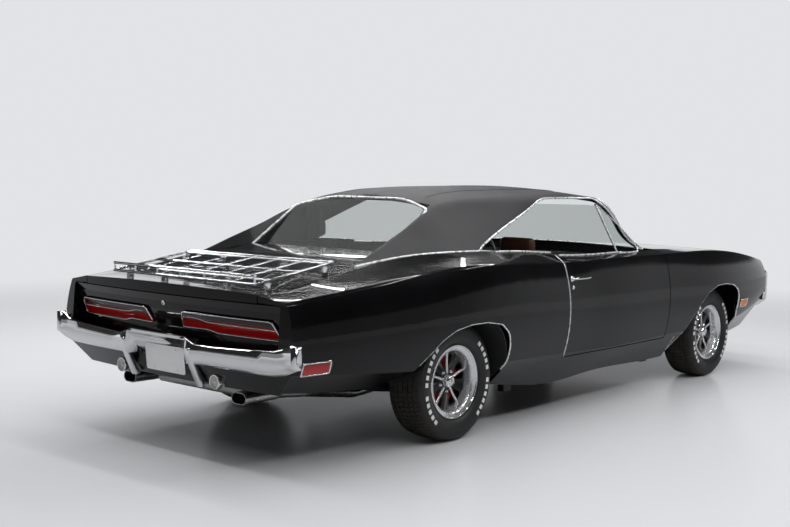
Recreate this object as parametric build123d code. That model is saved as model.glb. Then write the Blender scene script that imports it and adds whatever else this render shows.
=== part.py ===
from build123d import *
import os
from math import atan2, cos, hypot, sin

# A two-door fastback muscle car of about 1970, as an assembly of its panels, lids, running gear and fittings.
# Millimetres. +X points forward, +Y to the car's left, +Z up. The origin lies on the ground under the middle
# of the car's overall length. Half breadths are measured from the centre plane, heights from the ground.

# ------------------------------------------------------------------ driving dimensions
LENGTH = 5280.0            # over the bumpers
WHEELBASE = 2972.0
REAR_OVERHANG = 1334.0     # rear axle to the back of the rear bumper
HALF_WIDTH = 973.0         # at the widest point, over the rear wheels
HEIGHT = 1351.0            # ground to the top of the roof
SKIN = 12.0                # body panels with their inner flanges
LID_THICK = 28.0           # hood and trunk lid with their inner frames
GAP = 6.0                  # between a moving panel and its neighbours
HINGE_GAP = 8.0            # the same along the edge beside its hinges
SEAT_GAP = 0.3             # between pieces that rest on or run in each other
DOOR_LENGTH = 1240.0
DOOR_DEPTH = 125.0         # outer skin to inner trim
DOOR_TO_AXLE = 766.0       # front edge of the door to the front axle
TYRE_RADIUS = 318.0
TYRE_WIDTH = 238.0
WHEEL_INSET = 100.0        # tyre's outer wall inside the body's widest point
ROOF_SKIN = 26.0           # outer panel, vinyl and headlining together
GLASS = 5.0
SHEET = 14.0               # floor and firewall with their ribs

HALF_LENGTH = LENGTH / 2
REAR_AXLE = REAR_OVERHANG - HALF_LENGTH
FRONT_AXLE = REAR_AXLE + WHEELBASE
DOOR_FRONT = FRONT_AXLE - DOOR_TO_AXLE
DOOR_REAR = DOOR_FRONT - DOOR_LENGTH
TAIL = 40 - HALF_LENGTH    # the body's rear lip stands this far inside the bumper
NOSE = HALF_LENGTH - 55
FIREWALL = DOOR_FRONT + 30
WHEEL_Y = HALF_WIDTH - WHEEL_INSET - TYRE_WIDTH / 2
BIG = 4000.0               # reach of a cutting block

os.makedirs("parts", exist_ok=True)


# ------------------------------------------------------------------ drawing helpers
def outline(*points):
    """Closed flat shape through the points, joined by straight lines."""
    return make_face(Polyline(*points, close=True))


def rounded(points, radius):
    """The same with every corner rounded."""
    shape = outline(*points)
    return fillet(shape.vertices(), radius)


def across(shape, left, right):
    """Solid from a side view drawn as (x, z), between two breadths, right < left."""
    return extrude(Plane(origin=(0, left, 0), x_dir=(1, 0, 0), z_dir=(0, -1, 0)) * shape, left - right)


def along(shape, back, front):
    """Solid from a front view drawn as (y, z), between two stations."""
    return extrude(Plane(origin=(back, 0, 0), x_dir=(0, 1, 0), z_dir=(1, 0, 0)) * shape, front - back)


def upward(shape, low, high):
    """Solid from a plan drawn as (x, y), between two heights."""
    return extrude(Plane(origin=(0, 0, low)) * shape, high - low)


def block(x0, x1, y0, y1, z0, z1):
    return Pos((x0 + x1) / 2, (y0 + y1) / 2, (z0 + z1) / 2) * Box(x1 - x0, y1 - y0, z1 - z0)


def both_sides(x0, x1, y0, y1, z0, z1):
    """A pair of blocks, mirrored about the centre plane."""
    return block(x0, x1, y0, y1, z0, z1) + block(x0, x1, -y1, -y0, z0, z1)


def mirrored(solid):
    return mirror(solid, Plane.XZ)


def turned(shape, centre_x, half_angle):
    """Solid from a side view (x, z) turned both ways about an upright axis at centre_x."""
    axis = Axis((centre_x, 0, 0), (0, 0, 1))
    side = Plane(origin=(0, 0, 0), x_dir=(1, 0, 0), z_dir=(0, -1, 0)) * shape
    return revolve(side.rotate(axis, -half_angle), axis, 2 * half_angle)


def rod(start, end, radius):
    """Round bar between two points."""
    a, b = Vector(*start), Vector(*end)
    return extrude(Plane(origin=a, z_dir=b - a) * Circle(radius), (b - a).length)


def keep(name, shape):
    """Writes one piece of the car to its own file."""
    solids = shape.solids() if hasattr(shape, "solids") else shape
    piece = solids[0] if len(solids) == 1 else Compound(children=list(solids))
    piece.label = name
    export_step(piece, f"parts/{name}.step")


# ------------------------------------------------------------------ the body below the windows
# One row is a cross-section. Breadths are given as the distance inside HALF_WIDTH.
# station x | centre height | shoulder in, z | ridge in, z | widest in, z | crease in, z | underside in, z
BODY = [
    (TAIL - 50, 872, 290, 856, 145, 812, 104, 650, 112, 505, 248, 392),
    (TAIL + 150, 862, 300, 852, 124, 834, 76, 635, 90, 492, 238, 380),
    (TAIL + 400, 890, 308, 880, 103, 862, 49, 622, 67, 470, 223, 365),
    (TAIL + 700, 948, 310, 936, 84, 893, 22, 612, 48, 446, 208, 345),
    (REAR_AXLE, 1012, 238, 1000, 61, 936, 0, 600, 36, 412, 185, 300),
    (DOOR_REAR - 330, 1008, 186, 992, 69, 924, 16, 590, 54, 388, 175, 215),
    (DOOR_REAR + 340, 970, 180, 952, 80, 911, 35, 580, 65, 368, 173, 200),
    (DOOR_FRONT - 150, 968, 182, 950, 81, 913, 34, 575, 65, 371, 173, 200),
    (FRONT_AXLE - 400, 948, 190, 932, 80, 919, 22, 575, 57, 380, 176, 210),
    (FRONT_AXLE, 930, 203, 916, 80, 914, 11, 580, 48, 388, 186, 235),
    (FRONT_AXLE + 450, 896, 220, 882, 88, 872, 24, 595, 56, 440, 205, 268),
    (NOSE - 170, 850, 245, 838, 108, 826, 55, 612, 82, 505, 225, 300),
    (NOSE + 60, 806, 270, 796, 145, 786, 98, 620, 120, 535, 250, 330),
]


def body_section(row, wall):
    """Cross-section of the lower body, moved inwards by a wall thickness."""
    x, centre, in_s, z_s, in_r, z_r, in_w, z_w, in_c, z_c, in_u, z_u = row
    breadths = [HALF_WIDTH - b - wall for b in (in_s, in_r, in_w, in_c, in_u)]
    y_s, y_r, y_w, y_c, y_u = breadths
    z_s, z_r, centre, z_u = z_s - wall, z_r - wall, centre - wall, z_u + wall
    side = ThreePointArc((y_r, z_r), (y_w, z_w), (y_c, z_c))
    far_side = ThreePointArc((-y_c, z_c), (-y_w, z_w), (-y_r, z_r))
    edges = [
        ThreePointArc((-y_s, z_s), (0, centre), (y_s, z_s)),
        Line((y_s, z_s), (y_r, z_r)), side,
        Line((y_c, z_c), (y_u, z_u)), Line((y_u, z_u), (-y_u, z_u)), Line((-y_u, z_u), (-y_c, z_c)),
        far_side, Line((-y_r, z_r), (-y_s, z_s)),
    ]
    face = make_face(edges)
    ridge = [v for v in face.vertices() if abs(v.Y - z_r) < 1e-6 and abs(abs(v.X) - y_r) < 1e-6]
    face = fillet(ridge, 26 - wall / 2)
    return Plane(origin=(x, 0, 0), x_dir=(0, 1, 0), z_dir=(1, 0, 0)) * face


def body_form(wall):
    return loft([body_section(row, wall) for row in BODY])


# ------------------------------------------------------------------ the roof and its sail panels
# station x | centre height | edge in, z | corner radius | foot in, z
ROOF = [
    (TAIL + 620, 900, 365, 886, 8, 323, 830),
    (TAIL + 750, 966, 354, 949, 12, 283, 905),
    (TAIL + 900, 1027, 368, 1005, 20, 244, 915),
    (TAIL + 1050, 1092, 386, 1062, 40, 218, 926),
    (TAIL + 1200, 1157, 410, 1120, 60, 180, 929),
    (TAIL + 1350, 1225, 420, 1183, 90, 158, 928),
    (TAIL + 1500, 1284, 440, 1236, 110, 140, 930),
    (DOOR_REAR - 360, 1343, 345, 1288, 90, 160, 925),
    (DOOR_REAR + 100, HEIGHT, 320, 1302, 80, 172, 900),
    (DOOR_REAR + 560, HEIGHT - 4, 324, 1300, 80, 176, 900),
    (DOOR_FRONT - 300, 1320, 332, 1276, 75, 180, 900),
    (DOOR_FRONT + 60, 1278, 338, 1236, 70, 185, 900),
]


def roof_section(row, wall):
    x, centre, in_e, z_e, radius, in_b, z_b = row
    y_e, z_e, centre, y_b = HALF_WIDTH - in_e - wall, z_e - wall, centre - wall, HALF_WIDTH - in_b - wall
    edges = [
        ThreePointArc((-y_e, z_e), (0, centre), (y_e, z_e)),
        Line((y_e, z_e), (y_b, z_b)), Line((y_b, z_b), (-y_b, z_b)), Line((-y_b, z_b), (-y_e, z_e)),
    ]
    face = make_face(edges)
    corner = [v for v in face.vertices() if abs(v.Y - z_e) < 1e-6]
    face = fillet(corner, max(radius - wall, 4))
    return Plane(origin=(x, 0, 0), x_dir=(0, 1, 0), z_dir=(1, 0, 0)) * face


def roof_form(wall):
    return loft([roof_section(row, wall) for row in ROOF])


# ------------------------------------------------------------------ front and rear ends, bowed in plan
TAIL_BOW = 6260.0          # plan radius of the tail
NOSE_BOW = 5200.0          # plan radius of the nose
TAIL_AXIS = TAIL + TAIL_BOW
NOSE_AXIS = NOSE - NOSE_BOW
SWEEP = 11.5               # half angle that covers the body's breadth

# (distance ahead of the rear lip, height): the car's end surface, then the recessed lamp panel
TAIL_END = [(0, 1300), (0, 870), (4, 812), (-10, 640), (0, 500), (78, 370), (90, 100)]
LAMP_PANEL = [(6, 812), (24, 770), (34, 728), (70, 645), (74, 500)]
# (distance ahead of the hood's front edge, height)
NOSE_END = [(-10, 1200), (-6, 800), (12, 700), (4, 600), (-22, 510), (-100, 360), (-150, 100)]


def tail_x(points, push=0.0):
    return [(TAIL + dx + push, z) for dx, z in points]


def nose_x(points, push=0.0):
    return [(NOSE + dx + push, z) for dx, z in points]


def tail_slab(points, near, far):
    """Bowed wall that follows a tail profile, from near to far ahead of it."""
    return turned(outline(*tail_x(points, near), *reversed(tail_x(points, far))), TAIL_AXIS, SWEEP)


def nose_slab(points, near, far):
    """Bowed wall that follows a nose profile, from near to far behind it."""
    return turned(outline(*nose_x(points, -near), *reversed(nose_x(points, -far))), NOSE_AXIS, SWEEP)


body = body_form(0) - tail_slab(TAIL_END, -400, 0) - nose_slab(NOSE_END, -400, 0)
body_inside = body_form(SKIN)
lid_inside = body_form(LID_THICK)
skin = body - body_inside

# ------------------------------------------------------------------ seams and openings
HOOD_HALF = 706.0          # half breadth of the hood
COWL_BOW = 3000.0          # plan radius of the windscreen's foot
SCREEN_FOOT = DOOR_FRONT + 5
SCREEN_AXIS = SCREEN_FOOT - COWL_BOW
HOOD_REAR = COWL_BOW + 62  # radius of the hood's rear edge about the same axis
LID_FRONT = TAIL + 890     # front edge of the trunk lid
LID_HALF = (580, 676)      # half breadth of the trunk lid at its front and rear
LID_LIP = 812              # the lid wraps over the tail down to here

# distance ahead of the axle, height: the wheel openings in side view
REAR_ARCH = [(366, -60), (368, 480), (340, 560), (262, 618), (120, 640), (-20, 640), (-150, 620),
             (-250, 578), (-370, 490), (-480, 405), (-620, 335), (-760, 270), (-900, -60)]
FRONT_ARCH = [(356, -60), (356, 300), (336, 350), (303, 405), (272, 470), (274, 560), (250, 625),
              (170, 664), (40, 678), (-90, 673), (-210, 636), (-320, 566), (-430, 455), (-540, 330),
              (-600, 240), (-640, -60)]


def arch(points, axle):
    shape = outline(*[(axle + dx, z) for dx, z in points])
    inner = [v for v in shape.vertices() if v.Y > 250]
    return fillet(inner, 50)


def wheel_openings(depth):
    rear = arch(REAR_ARCH, REAR_AXLE)
    front = arch(FRONT_ARCH, FRONT_AXLE)
    pair = across(rear, HALF_WIDTH + 50, depth) + across(front, HALF_WIDTH + 50, depth)
    return pair + mirrored(pair)


def bent_sheet(points, thick):
    """Flat outline of a folded sheet that runs through the points, thick to their left."""
    edge = []
    for i, (x, z) in enumerate(points):
        x0, z0 = points[max(i - 1, 0)]
        x1, z1 = points[min(i + 1, len(points) - 1)]
        before = atan2(z - z0, x - x0) if i else atan2(z1 - z, x1 - x)
        after = atan2(z1 - z, x1 - x) if i < len(points) - 1 else before
        middle, half = (before + after) / 2, (after - before) / 2
        reach = thick / cos(half)
        edge.append((x - reach * sin(middle), z + reach * cos(middle)))
    return outline(*points, *reversed(edge))


# ------------------------------------------------------------------ windows
# side view of the rear glass's outer face, top then bottom, and of the roof's side openings
REAR_GLASS = ((TAIL + 1519, 1285), (TAIL + 1100, 975))
TUNNEL = [(TAIL + 1510, 507), (TAIL + 1200, 553), (TAIL + 750, 610), (TAIL + 550, 618)]
SIDE_OPENING = [(DOOR_REAR - 725, 986), (DOOR_REAR + 45, 1272), (DOOR_REAR + 150, 1287),
                (DOOR_REAR + 662, 1287), (DOOR_FRONT - 165, 955), (DOOR_FRONT - 165, 900),
                (DOOR_REAR - 500, 900)]
SCREEN_FOOT_Z, SCREEN_TOP_Z, SCREEN_RUN = 940.0, 1322.0, 500.0
SCREEN_HALF = 610.0        # half breadth of the windscreen's opening in the roof


def plan_between(points):
    """Symmetrical plan outline from (x, half breadth) pairs."""
    return outline(*points, *[(x, -y) for x, y in reversed(points)])


def screen_cone(inward, reach):
    """Everything ahead of the windscreen's surface, moved back by inward; reach is how far it extends."""
    slope = SCREEN_RUN / (SCREEN_TOP_Z - SCREEN_FOOT_Z)
    low, high = 700.0, 1400.0
    foot = SCREEN_FOOT - inward + (SCREEN_FOOT_Z - low) * slope
    top = SCREEN_FOOT - inward + (SCREEN_FOOT_Z - high) * slope
    return turned(outline((foot, low), (foot + reach, low), (top + reach, high), (top, high)), SCREEN_AXIS, 17)


glass_dx = REAR_GLASS[0][0] - REAR_GLASS[1][0]
glass_dz = REAR_GLASS[0][1] - REAR_GLASS[1][1]
glass_len = hypot(glass_dx, glass_dz)
glass_out = (-glass_dz / glass_len, glass_dx / glass_len)


def on_rear_glass(along_it, out):
    """Point of the side view at a distance up the rear glass and out of its face."""
    x, z = REAR_GLASS[1]
    return (x + glass_dx * along_it / glass_len + glass_out[0] * out,
            z + glass_dz * along_it / glass_len + glass_out[1] * out)


tunnel_side = outline(on_rear_glass(glass_len + 8, 0), on_rear_glass(0, 0), (TAIL + 1095, 940), (TAIL + 400, 900),
                      (TAIL + 400, 1500), (TAIL + 1400, 1500))
tunnel = across(tunnel_side, 800, -800) & upward(plan_between(TUNNEL + [(TAIL + 300, 620)]), 800, 1500)
tunnel += across(tunnel_side, 800, -800) & block(TAIL + 1505, TAIL + 1560, -507, 507, 1200, 1400)

# ------------------------------------------------------------------ roof with its pillars and sails
roof_solid = roof_form(0)
roof_outer = roof_solid - body
roof_void = roof_form(ROOF_SKIN)
sail_core = across(outline((TAIL + 300, 700), (DOOR_REAR - 590, 700), (DOOR_REAR - 590, 1100),
                           on_rear_glass(glass_len + 60, 40), (TAIL + 300, 1500)), 900, -900)
sail_core -= upward(plan_between(TUNNEL), 600, 1600)
behind_glass = across(outline(on_rear_glass(glass_len + 40, -12), on_rear_glass(-80, -12),
                              (TAIL + 200, 800), (TAIL + 200, 1500)), 900, -900)
cabin_void = roof_void - sail_core - behind_glass
roof = roof_outer - cabin_void - tunnel
roof -= screen_cone(0, 900)
screen_hole = across(outline((0, 930), (1000, 930), (1000, 1300), (0, 1300)), SCREEN_HALF, -SCREEN_HALF)
roof -= screen_hole & screen_cone(40, 900)
glass_edge = [(x, y - 24) for x, y in TUNNEL]
rear_hole = across(outline(on_rear_glass(28, -60), on_rear_glass(glass_len - 24, -60),
                           on_rear_glass(glass_len - 24, 20), on_rear_glass(28, 20)), 700, -700)
roof -= rear_hole & upward(plan_between(glass_edge), 800, 1400)
glass_rebate = across(outline(on_rear_glass(0, -GLASS - SEAT_GAP), on_rear_glass(glass_len, -GLASS - SEAT_GAP),
                              on_rear_glass(glass_len, 20), on_rear_glass(0, 20)), 700, -700)
roof -= glass_rebate & upward(plan_between(TUNNEL), 800, 1400)
side_shape = outline(*SIDE_OPENING)
side_shape = fillet(side_shape.vertices().sort_by(Axis.X)[:1], 34)
side_shape = fillet([v for v in side_shape.vertices() if v.Y > 1260 and v.X < DOOR_REAR + 400], 60)
roof -= across(side_shape, HALF_WIDTH, -HALF_WIDTH)
keep("roof", roof)


# ------------------------------------------------------------------ glass
windscreen = screen_cone(GLASS, 900) - screen_cone(0, 1000)
screen_edge = roof_form(ROOF_SKIN + SEAT_GAP)
windscreen = windscreen & screen_edge & block(0, 1500, -900, 900, SCREEN_FOOT_Z, 1306)
windscreen -= Pos(0, 0, SEAT_GAP) * body
keep("windscreen", windscreen)

rear_window = across(outline(on_rear_glass(2, -GLASS), on_rear_glass(glass_len - 2, -GLASS),
                             on_rear_glass(glass_len - 2, 0), on_rear_glass(2, 0)), 700, -700)
rear_window = rear_window & upward(plan_between([(x, y - SEAT_GAP) for x, y in TUNNEL]), 800, 1400)
rear_window = rear_window & roof_solid
keep("rear_window", rear_window)

# ------------------------------------------------------------------ painted panels
wheel_holes = wheel_openings(HALF_WIDTH - 330)
BELT_HALF = HALF_WIDTH - 183        # the cabin's opening between the shoulders
CABIN = [(TAIL + 1100, 570), (TAIL + 1200, 590), (DOOR_REAR - 600, 690), (DOOR_REAR - 520, BELT_HALF),
         (DOOR_FRONT - 160, BELT_HALF), (DOOR_FRONT - 140, 740)]
SILL_TOP = 350.0

deck_lid_plan = plan_between([(TAIL - 60, LID_HALF[1]), (LID_FRONT, LID_HALF[0])])
deck_cut_plan = plan_between([(TAIL - 60, LID_HALF[1] + GAP), (LID_FRONT + HINGE_GAP, LID_HALF[0] + GAP)])
RECESS_HALF = 806.0        # half breadth of the recessed tail


def recess_outline(inset):
    half, low = RECESS_HALF - inset, 520 + inset
    return rounded([(-half, low), (half, low), (half, LID_LIP), (-half, LID_LIP)], 26)


recess_view = recess_outline(0)
tail_recess = turned(outline(*tail_x([(-60, 900), (-60, 400)]), *reversed(tail_x(LAMP_PANEL)),
                             (TAIL + 6, 900)), TAIL_AXIS, SWEEP) & along(recess_view, TAIL - 150, TAIL + 300)
tail_block = body & tail_slab(TAIL_END, 0, 40)

cabin_hole = upward(plan_between(CABIN), 100, 1500)
quarters = skin & block(TAIL - 200, DOOR_REAR - GAP / 2, -BIG, BIG, 0, BIG)
quarters += tail_block & block(TAIL - 200, TAIL + 300, -BIG, BIG, 300, BIG)
quarters -= tail_recess
quarters -= upward(deck_cut_plan, LID_LIP - GAP / 2, 1500)
quarters -= block(TAIL - 200, DOOR_REAR, -718, 718, 0, 815)
quarters -= both_sides(TAIL - 200, TAIL + 300, 600, 746, 0, 560)
quarters -= along(recess_view, TAIL + 10, TAIL + 300)
quarters -= block(REAR_AXLE + 200, DOOR_REAR, -BIG, BIG, 0, SILL_TOP)
quarters -= cabin_hole
quarters -= wheel_holes

lamp_panel = body & tail_slab(LAMP_PANEL, 0, 14)
lamp_panel = lamp_panel & along(recess_outline(SEAT_GAP), TAIL - 200, TAIL + 300)
lamp_panel -= block(TAIL - 200, TAIL + 300, -BIG, BIG, LID_LIP - GAP, 900)
keep("tail_panel", lamp_panel)

valance = body & tail_slab(TAIL_END, 0, 14) & block(TAIL - 200, TAIL + 300, -745, 745, 300, 520)

trunk_lid = (body - lid_inside) & upward(deck_lid_plan, 700, 1200)
trunk_lid += body & tail_slab(TAIL_END, 0, 30) & upward(deck_lid_plan, LID_LIP, 1200)

fender_inner = HOOD_HALF + GAP
hood_edge = Pos(SCREEN_AXIS, 0, 0) * Cylinder(HOOD_REAR, 3000)
fenders = skin & block(DOOR_FRONT + GAP / 2, BIG, -BIG, BIG, 150, BIG)
fenders -= block(DOOR_FRONT, BIG, -fender_inner, fender_inner, 0, BIG)
fenders -= both_sides(DOOR_FRONT, BIG, 600, HALF_WIDTH - 230, 0, 560)
fenders -= block(DOOR_FRONT, FRONT_AXLE - 600, -BIG, BIG, 0, SILL_TOP)
fenders -= wheel_holes

hood = (body - lid_inside) & block(DOOR_FRONT - 100, NOSE + 100, -HOOD_HALF, HOOD_HALF, 720, 1200)
hood += body & nose_slab(NOSE_END, 0, 26) & block(NOSE - 300, NOSE + 100, -HOOD_HALF, HOOD_HALF, 770, 1200)
hood -= hood_edge

cowl = skin & block(DOOR_FRONT - 120, DOOR_FRONT + 300, -fender_inner + 0.5, fender_inner - 0.5, 850, 1200)
cowl = cowl & (Pos(SCREEN_AXIS, 0, 0) * Cylinder(HOOD_REAR - HINGE_GAP, 3000))
cowl -= Pos(SCREEN_AXIS, 0, 0) * Cylinder(COWL_BOW - 44, 3000)

# ------------------------------------------------------------------ doors and hinges
PIN = 5.0                  # radius of the hinge pins
BARREL = 11.0
DOOR_BOTTOM = SILL_TOP + GAP
DOOR_HINGE = (DOOR_FRONT + 83, 912.0)
DOOR_HINGE_HEIGHTS = (520.0, 680.0)
DOOR_INNER = HALF_WIDTH - 35 - DOOR_DEPTH
door_back, door_edge = DOOR_REAR + GAP / 2, DOOR_FRONT + GAP / 2 - HINGE_GAP
door_view = rounded([(door_back, DOOR_BOTTOM), (door_edge, DOOR_BOTTOM),
                     (door_edge, 1100), (door_back, 1100)], 14)
door_plan = outline((door_back, BIG), (door_back, 890), (door_back + 19, DOOR_INNER),
                    (door_edge, DOOR_INNER), (door_edge, BIG))
door_left = body & across(door_view, BIG, DOOR_INNER) & upward(door_plan, 0, 1200)
hinge_x, hinge_y = DOOR_HINGE
arm_plan = bent_sheet([(hinge_x - 8, hinge_y), (hinge_x - 36, hinge_y - 80), (door_edge - 20, hinge_y - 86)], 12)
arm_plan = arm_plan.moved(Pos(-hinge_x, -hinge_y))
hinge_lugs = []
for z in DOOR_HINGE_HEIGHTS:
    barrel = Plane(origin=(hinge_x, hinge_y, z - 7))
    door_left += extrude(barrel * arm_plan, 14) + extrude(barrel * Circle(BARREL), 14)
    door_left -= extrude(barrel * Circle(PIN + SEAT_GAP), 14)
    pin = extrude(barrel.offset(-14) * Circle(PIN), 42)
    lug = block(hinge_x - 10, hinge_x + 10, hinge_y - 10, hinge_y + 24, z - 22, z - 12)
    hinge_lugs.append(pin + lug + Pos(0, 0, 34) * lug)
keep("door_left", door_left)
keep("door_right", mirrored(door_left))
for holder in hinge_lugs:
    fenders += holder + mirrored(holder)

HOOD_HINGE = (DOOR_FRONT - 75, 925.0)
HOOD_ARM_Y = 654.0
hood_x, hood_z = HOOD_HINGE
arm_side = outline((hood_x, hood_z - BARREL), (hood_x + 75, hood_z - 20), (hood_x + 140, hood_z - 20),
                   (hood_x + 140, hood_z + 12), (hood_x + 80, hood_z), (hood_x, hood_z + BARREL))
arm_side += Pos(hood_x, hood_z) * Circle(BARREL)
arm_side -= Pos(hood_x, hood_z) * Circle(PIN + SEAT_GAP)
hood_arm = across(arm_side, HOOD_ARM_Y + 6, HOOD_ARM_Y - 6)
hood += hood_arm + mirrored(hood_arm)
keep("hood", hood)

notch = block(hood_x - 18, hood_x + 200, HOOD_ARM_Y - 12, HOOD_ARM_Y + 12, 900, 1000)
cowl -= notch + mirrored(notch)
bracket = block(hood_x - 9, hood_x + 9, HOOD_ARM_Y - 20, HOOD_ARM_Y - 12, hood_z - 9, hood_z + 21)
bracket += rod((hood_x, HOOD_ARM_Y - 20, hood_z), (hood_x, HOOD_ARM_Y + 12, hood_z), PIN)
cowl += bracket + mirrored(bracket)
keep("cowl_panel", cowl)

LID_HINGE = (LID_FRONT + 90, 946.0)
LID_ARM_Y = 520.0
lid_x, lid_z = LID_HINGE
lid_arm_side = outline((lid_x, lid_z - 10), (lid_x - 95, lid_z - 22), (lid_x - 150, lid_z - 24),
                       (lid_x - 150, lid_z + 6), (lid_x - 100, lid_z - 4), (lid_x, lid_z + 10))
lid_arm_side += Pos(lid_x, lid_z) * Circle(10)
lid_arm_side -= Pos(lid_x, lid_z) * Circle(PIN + SEAT_GAP)
lid_arm = across(lid_arm_side, LID_ARM_Y + 6, LID_ARM_Y - 6)
trunk_lid += lid_arm + mirrored(lid_arm)
keep("trunk_lid", trunk_lid)

lid_notch = block(lid_x - 200, lid_x + 18, LID_ARM_Y - 12, LID_ARM_Y + 12, 900, 1100)
quarters -= lid_notch + mirrored(lid_notch)
lid_bracket = block(lid_x - 9, lid_x + 9, LID_ARM_Y + 12, LID_ARM_Y + 20, lid_z - 9, lid_z + 25)
lid_bracket += rod((lid_x, LID_ARM_Y - 12, lid_z), (lid_x, LID_ARM_Y + 20, lid_z), PIN)
quarters += lid_bracket + mirrored(lid_bracket)

# x of the middle, height of the middle, half length, half height
MARKERS = [(TAIL + 200, 519, 96, 40), (FRONT_AXLE + 370, 515, 80, 36)]
side_panels = [quarters, fenders]
marker_lenses = []
for i, (x, z, half_length, half_height) in enumerate(MARKERS):
    hole = block(x - half_length, x + half_length, 700, BIG, z - half_height, z + half_height)
    fill = block(x - half_length + SEAT_GAP, x + half_length - SEAT_GAP, 700, BIG,
                 z - half_height + SEAT_GAP, z + half_height - SEAT_GAP)
    lens = side_panels[i] & fill
    side_panels[i] = side_panels[i] - hole - mirrored(hole)
    marker_lenses += [lens, mirrored(lens)]
quarters, fenders = side_panels
keep("quarter_panels", quarters)
keep("front_fenders", fenders)

# ------------------------------------------------------------------ wheels and tyres
SPOKES = 5
HUB_RADIUS = 62.0
SPOKE_RING = 152.0         # radius at which the spokes meet the barrel
SHAFT_RADIUS = 30.0
DRUM_RADIUS = 140.0

# (distance out from the wheel's middle plane, radius) round the rim's section
RIM_SECTION = [(95, 195), (89, 196), (86, 178), (34, 176), (22, 162), (-60, 162), (-72, 178), (-86, 178),
               (-89, 195), (-95, 195), (-92, 172), (-78, 168), (-66, 152), (16, 152), (40, 160), (84, 168)]
# the tyre's section on one side: bead, sidewall, shoulder, crown
TYRE_SECTION = [(84, 179), (84, 198), (106, 214), (119, 248), (117, 282), (104, 306), (60, 316)]


def wheel_solid(points):
    """Ring turned about the wheel's axis, which lies along Y."""
    return revolve(outline(*[(r, y) for y, r in points]), Axis.Y, 360)


def styled_rim():
    """Steel rim with five raised spokes, a hub with its cap and a bore for the axle, outer face towards +Y."""
    rim = wheel_solid(RIM_SECTION)
    hub = wheel_solid([(18, 0), (18, HUB_RADIUS), (34, HUB_RADIUS - 4), (42, HUB_RADIUS - 16), (42, 0)])
    spoke = outline((0, -21), (SPOKE_RING + 3, -17), (SPOKE_RING + 3, 17), (0, 21))
    face = Plane(origin=(0, 16, 0), x_dir=(1, 0, 0), z_dir=(0, 1, 0))
    spokes = [extrude(face * (Rot(0, 0, 90 + i * 360 / SPOKES) * spoke), 22) for i in range(SPOKES)]
    dish = wheel_solid([(15, 0), (15, SPOKE_RING + 3), (36, SPOKE_RING + 3), (28, 100), (26, 0)])
    windows = []
    for i in range(SPOKES):
        middle = 90 + (i + 0.5) * 360 / SPOKES
        hole = rounded([(72, -26), (132, -52), (146, -34), (146, 34), (132, 52), (72, 26)], 9)
        windows.append(extrude(face * (Rot(0, 0, middle) * hole), 60, both=True))
    cap = wheel_solid([(40, 0), (40, 34), (60, 33), (72, 26), (77, 0)])
    wheel = rim + dish + hub + spokes + cap - windows
    bore = Plane(origin=(0, 10, 0), x_dir=(1, 0, 0), z_dir=(0, 1, 0)) * Circle(SHAFT_RADIUS + SEAT_GAP)
    return wheel - extrude(bore, 24)


def tyre_solid():
    section = TYRE_SECTION + [(-y, r) for y, r in reversed(TYRE_SECTION)]
    shape = outline(*[(r, y) for y, r in section[:7]], (TYRE_RADIUS, 0), *[(r, y) for y, r in section[7:]])
    round_off = [v for v in shape.vertices() if v.X > 200]
    return revolve(fillet(round_off, 11), Axis.Y, 360)


rim_form, tyre_form = styled_rim(), tyre_solid()
WHEELS = [("front_left", FRONT_AXLE, 1), ("front_right", FRONT_AXLE, -1),
          ("rear_left", REAR_AXLE, 1), ("rear_right", REAR_AXLE, -1)]
for place, x, side in WHEELS:
    for name, form in (("rim", rim_form), ("tyre", tyre_form)):
        piece = form if side > 0 else mirrored(form)
        keep(f"{name}_{place}", Pos(x, side * WHEEL_Y, TYRE_RADIUS) * piece)

# ------------------------------------------------------------------ rear axle and springs
SPRING_Y = 512.0
axle = rod((REAR_AXLE, -WHEEL_Y + 66, TYRE_RADIUS), (REAR_AXLE, WHEEL_Y - 66, TYRE_RADIUS), 40)
housing = Pos(REAR_AXLE, 0, TYRE_RADIUS) * Sphere(135)
axle += housing & block(REAR_AXLE - 110, REAR_AXLE + 150, -120, 120, 100, 460)
for side in (-1, 1):
    drum = Plane(origin=(REAR_AXLE, side * (WHEEL_Y - 70), TYRE_RADIUS), z_dir=(0, side, 0))
    axle += extrude(drum * Circle(DRUM_RADIUS), 62)
    axle += extrude(drum * Circle(SHAFT_RADIUS), 70 + 30)
keep("rear_axle", axle)

FLOOR_LOW = 225.0
SEAT_PAN = 372.0
BOOT_FLOOR = 432.0
AXLE_HUMP = 520.0
spring_top = TYRE_RADIUS - 40 - SEAT_GAP
EYE_REAR, EYE_FRONT = REAR_AXLE - 660, REAR_AXLE + 520
LEAF = 10.0                # thickness of the main leaf at its ends
PACK = 38.0                # the whole stack, under the axle
rear_eye, front_eye = BOOT_FLOOR - 44, SEAT_PAN - 30
leaf_top = ThreePointArc((EYE_REAR, rear_eye), (REAR_AXLE, spring_top), (EYE_FRONT, front_eye))
leaf_under = ThreePointArc((EYE_FRONT, front_eye - LEAF), (REAR_AXLE, spring_top - PACK),
                           (EYE_REAR, rear_eye - LEAF))
spring_side = make_face([leaf_top, Line((EYE_FRONT, front_eye), (EYE_FRONT, front_eye - LEAF)),
                         leaf_under, Line((EYE_REAR, rear_eye - LEAF), (EYE_REAR, rear_eye))])
spring = across(spring_side, SPRING_Y + 32, SPRING_Y - 32)
for x, top in ((EYE_REAR + 12, BOOT_FLOOR), (EYE_FRONT - 12, SEAT_PAN)):
    spring += block(x - 12, x + 12, SPRING_Y - 32, SPRING_Y + 32, top - 50, top - SEAT_GAP)
keep("leaf_springs", spring + mirrored(spring))

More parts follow.
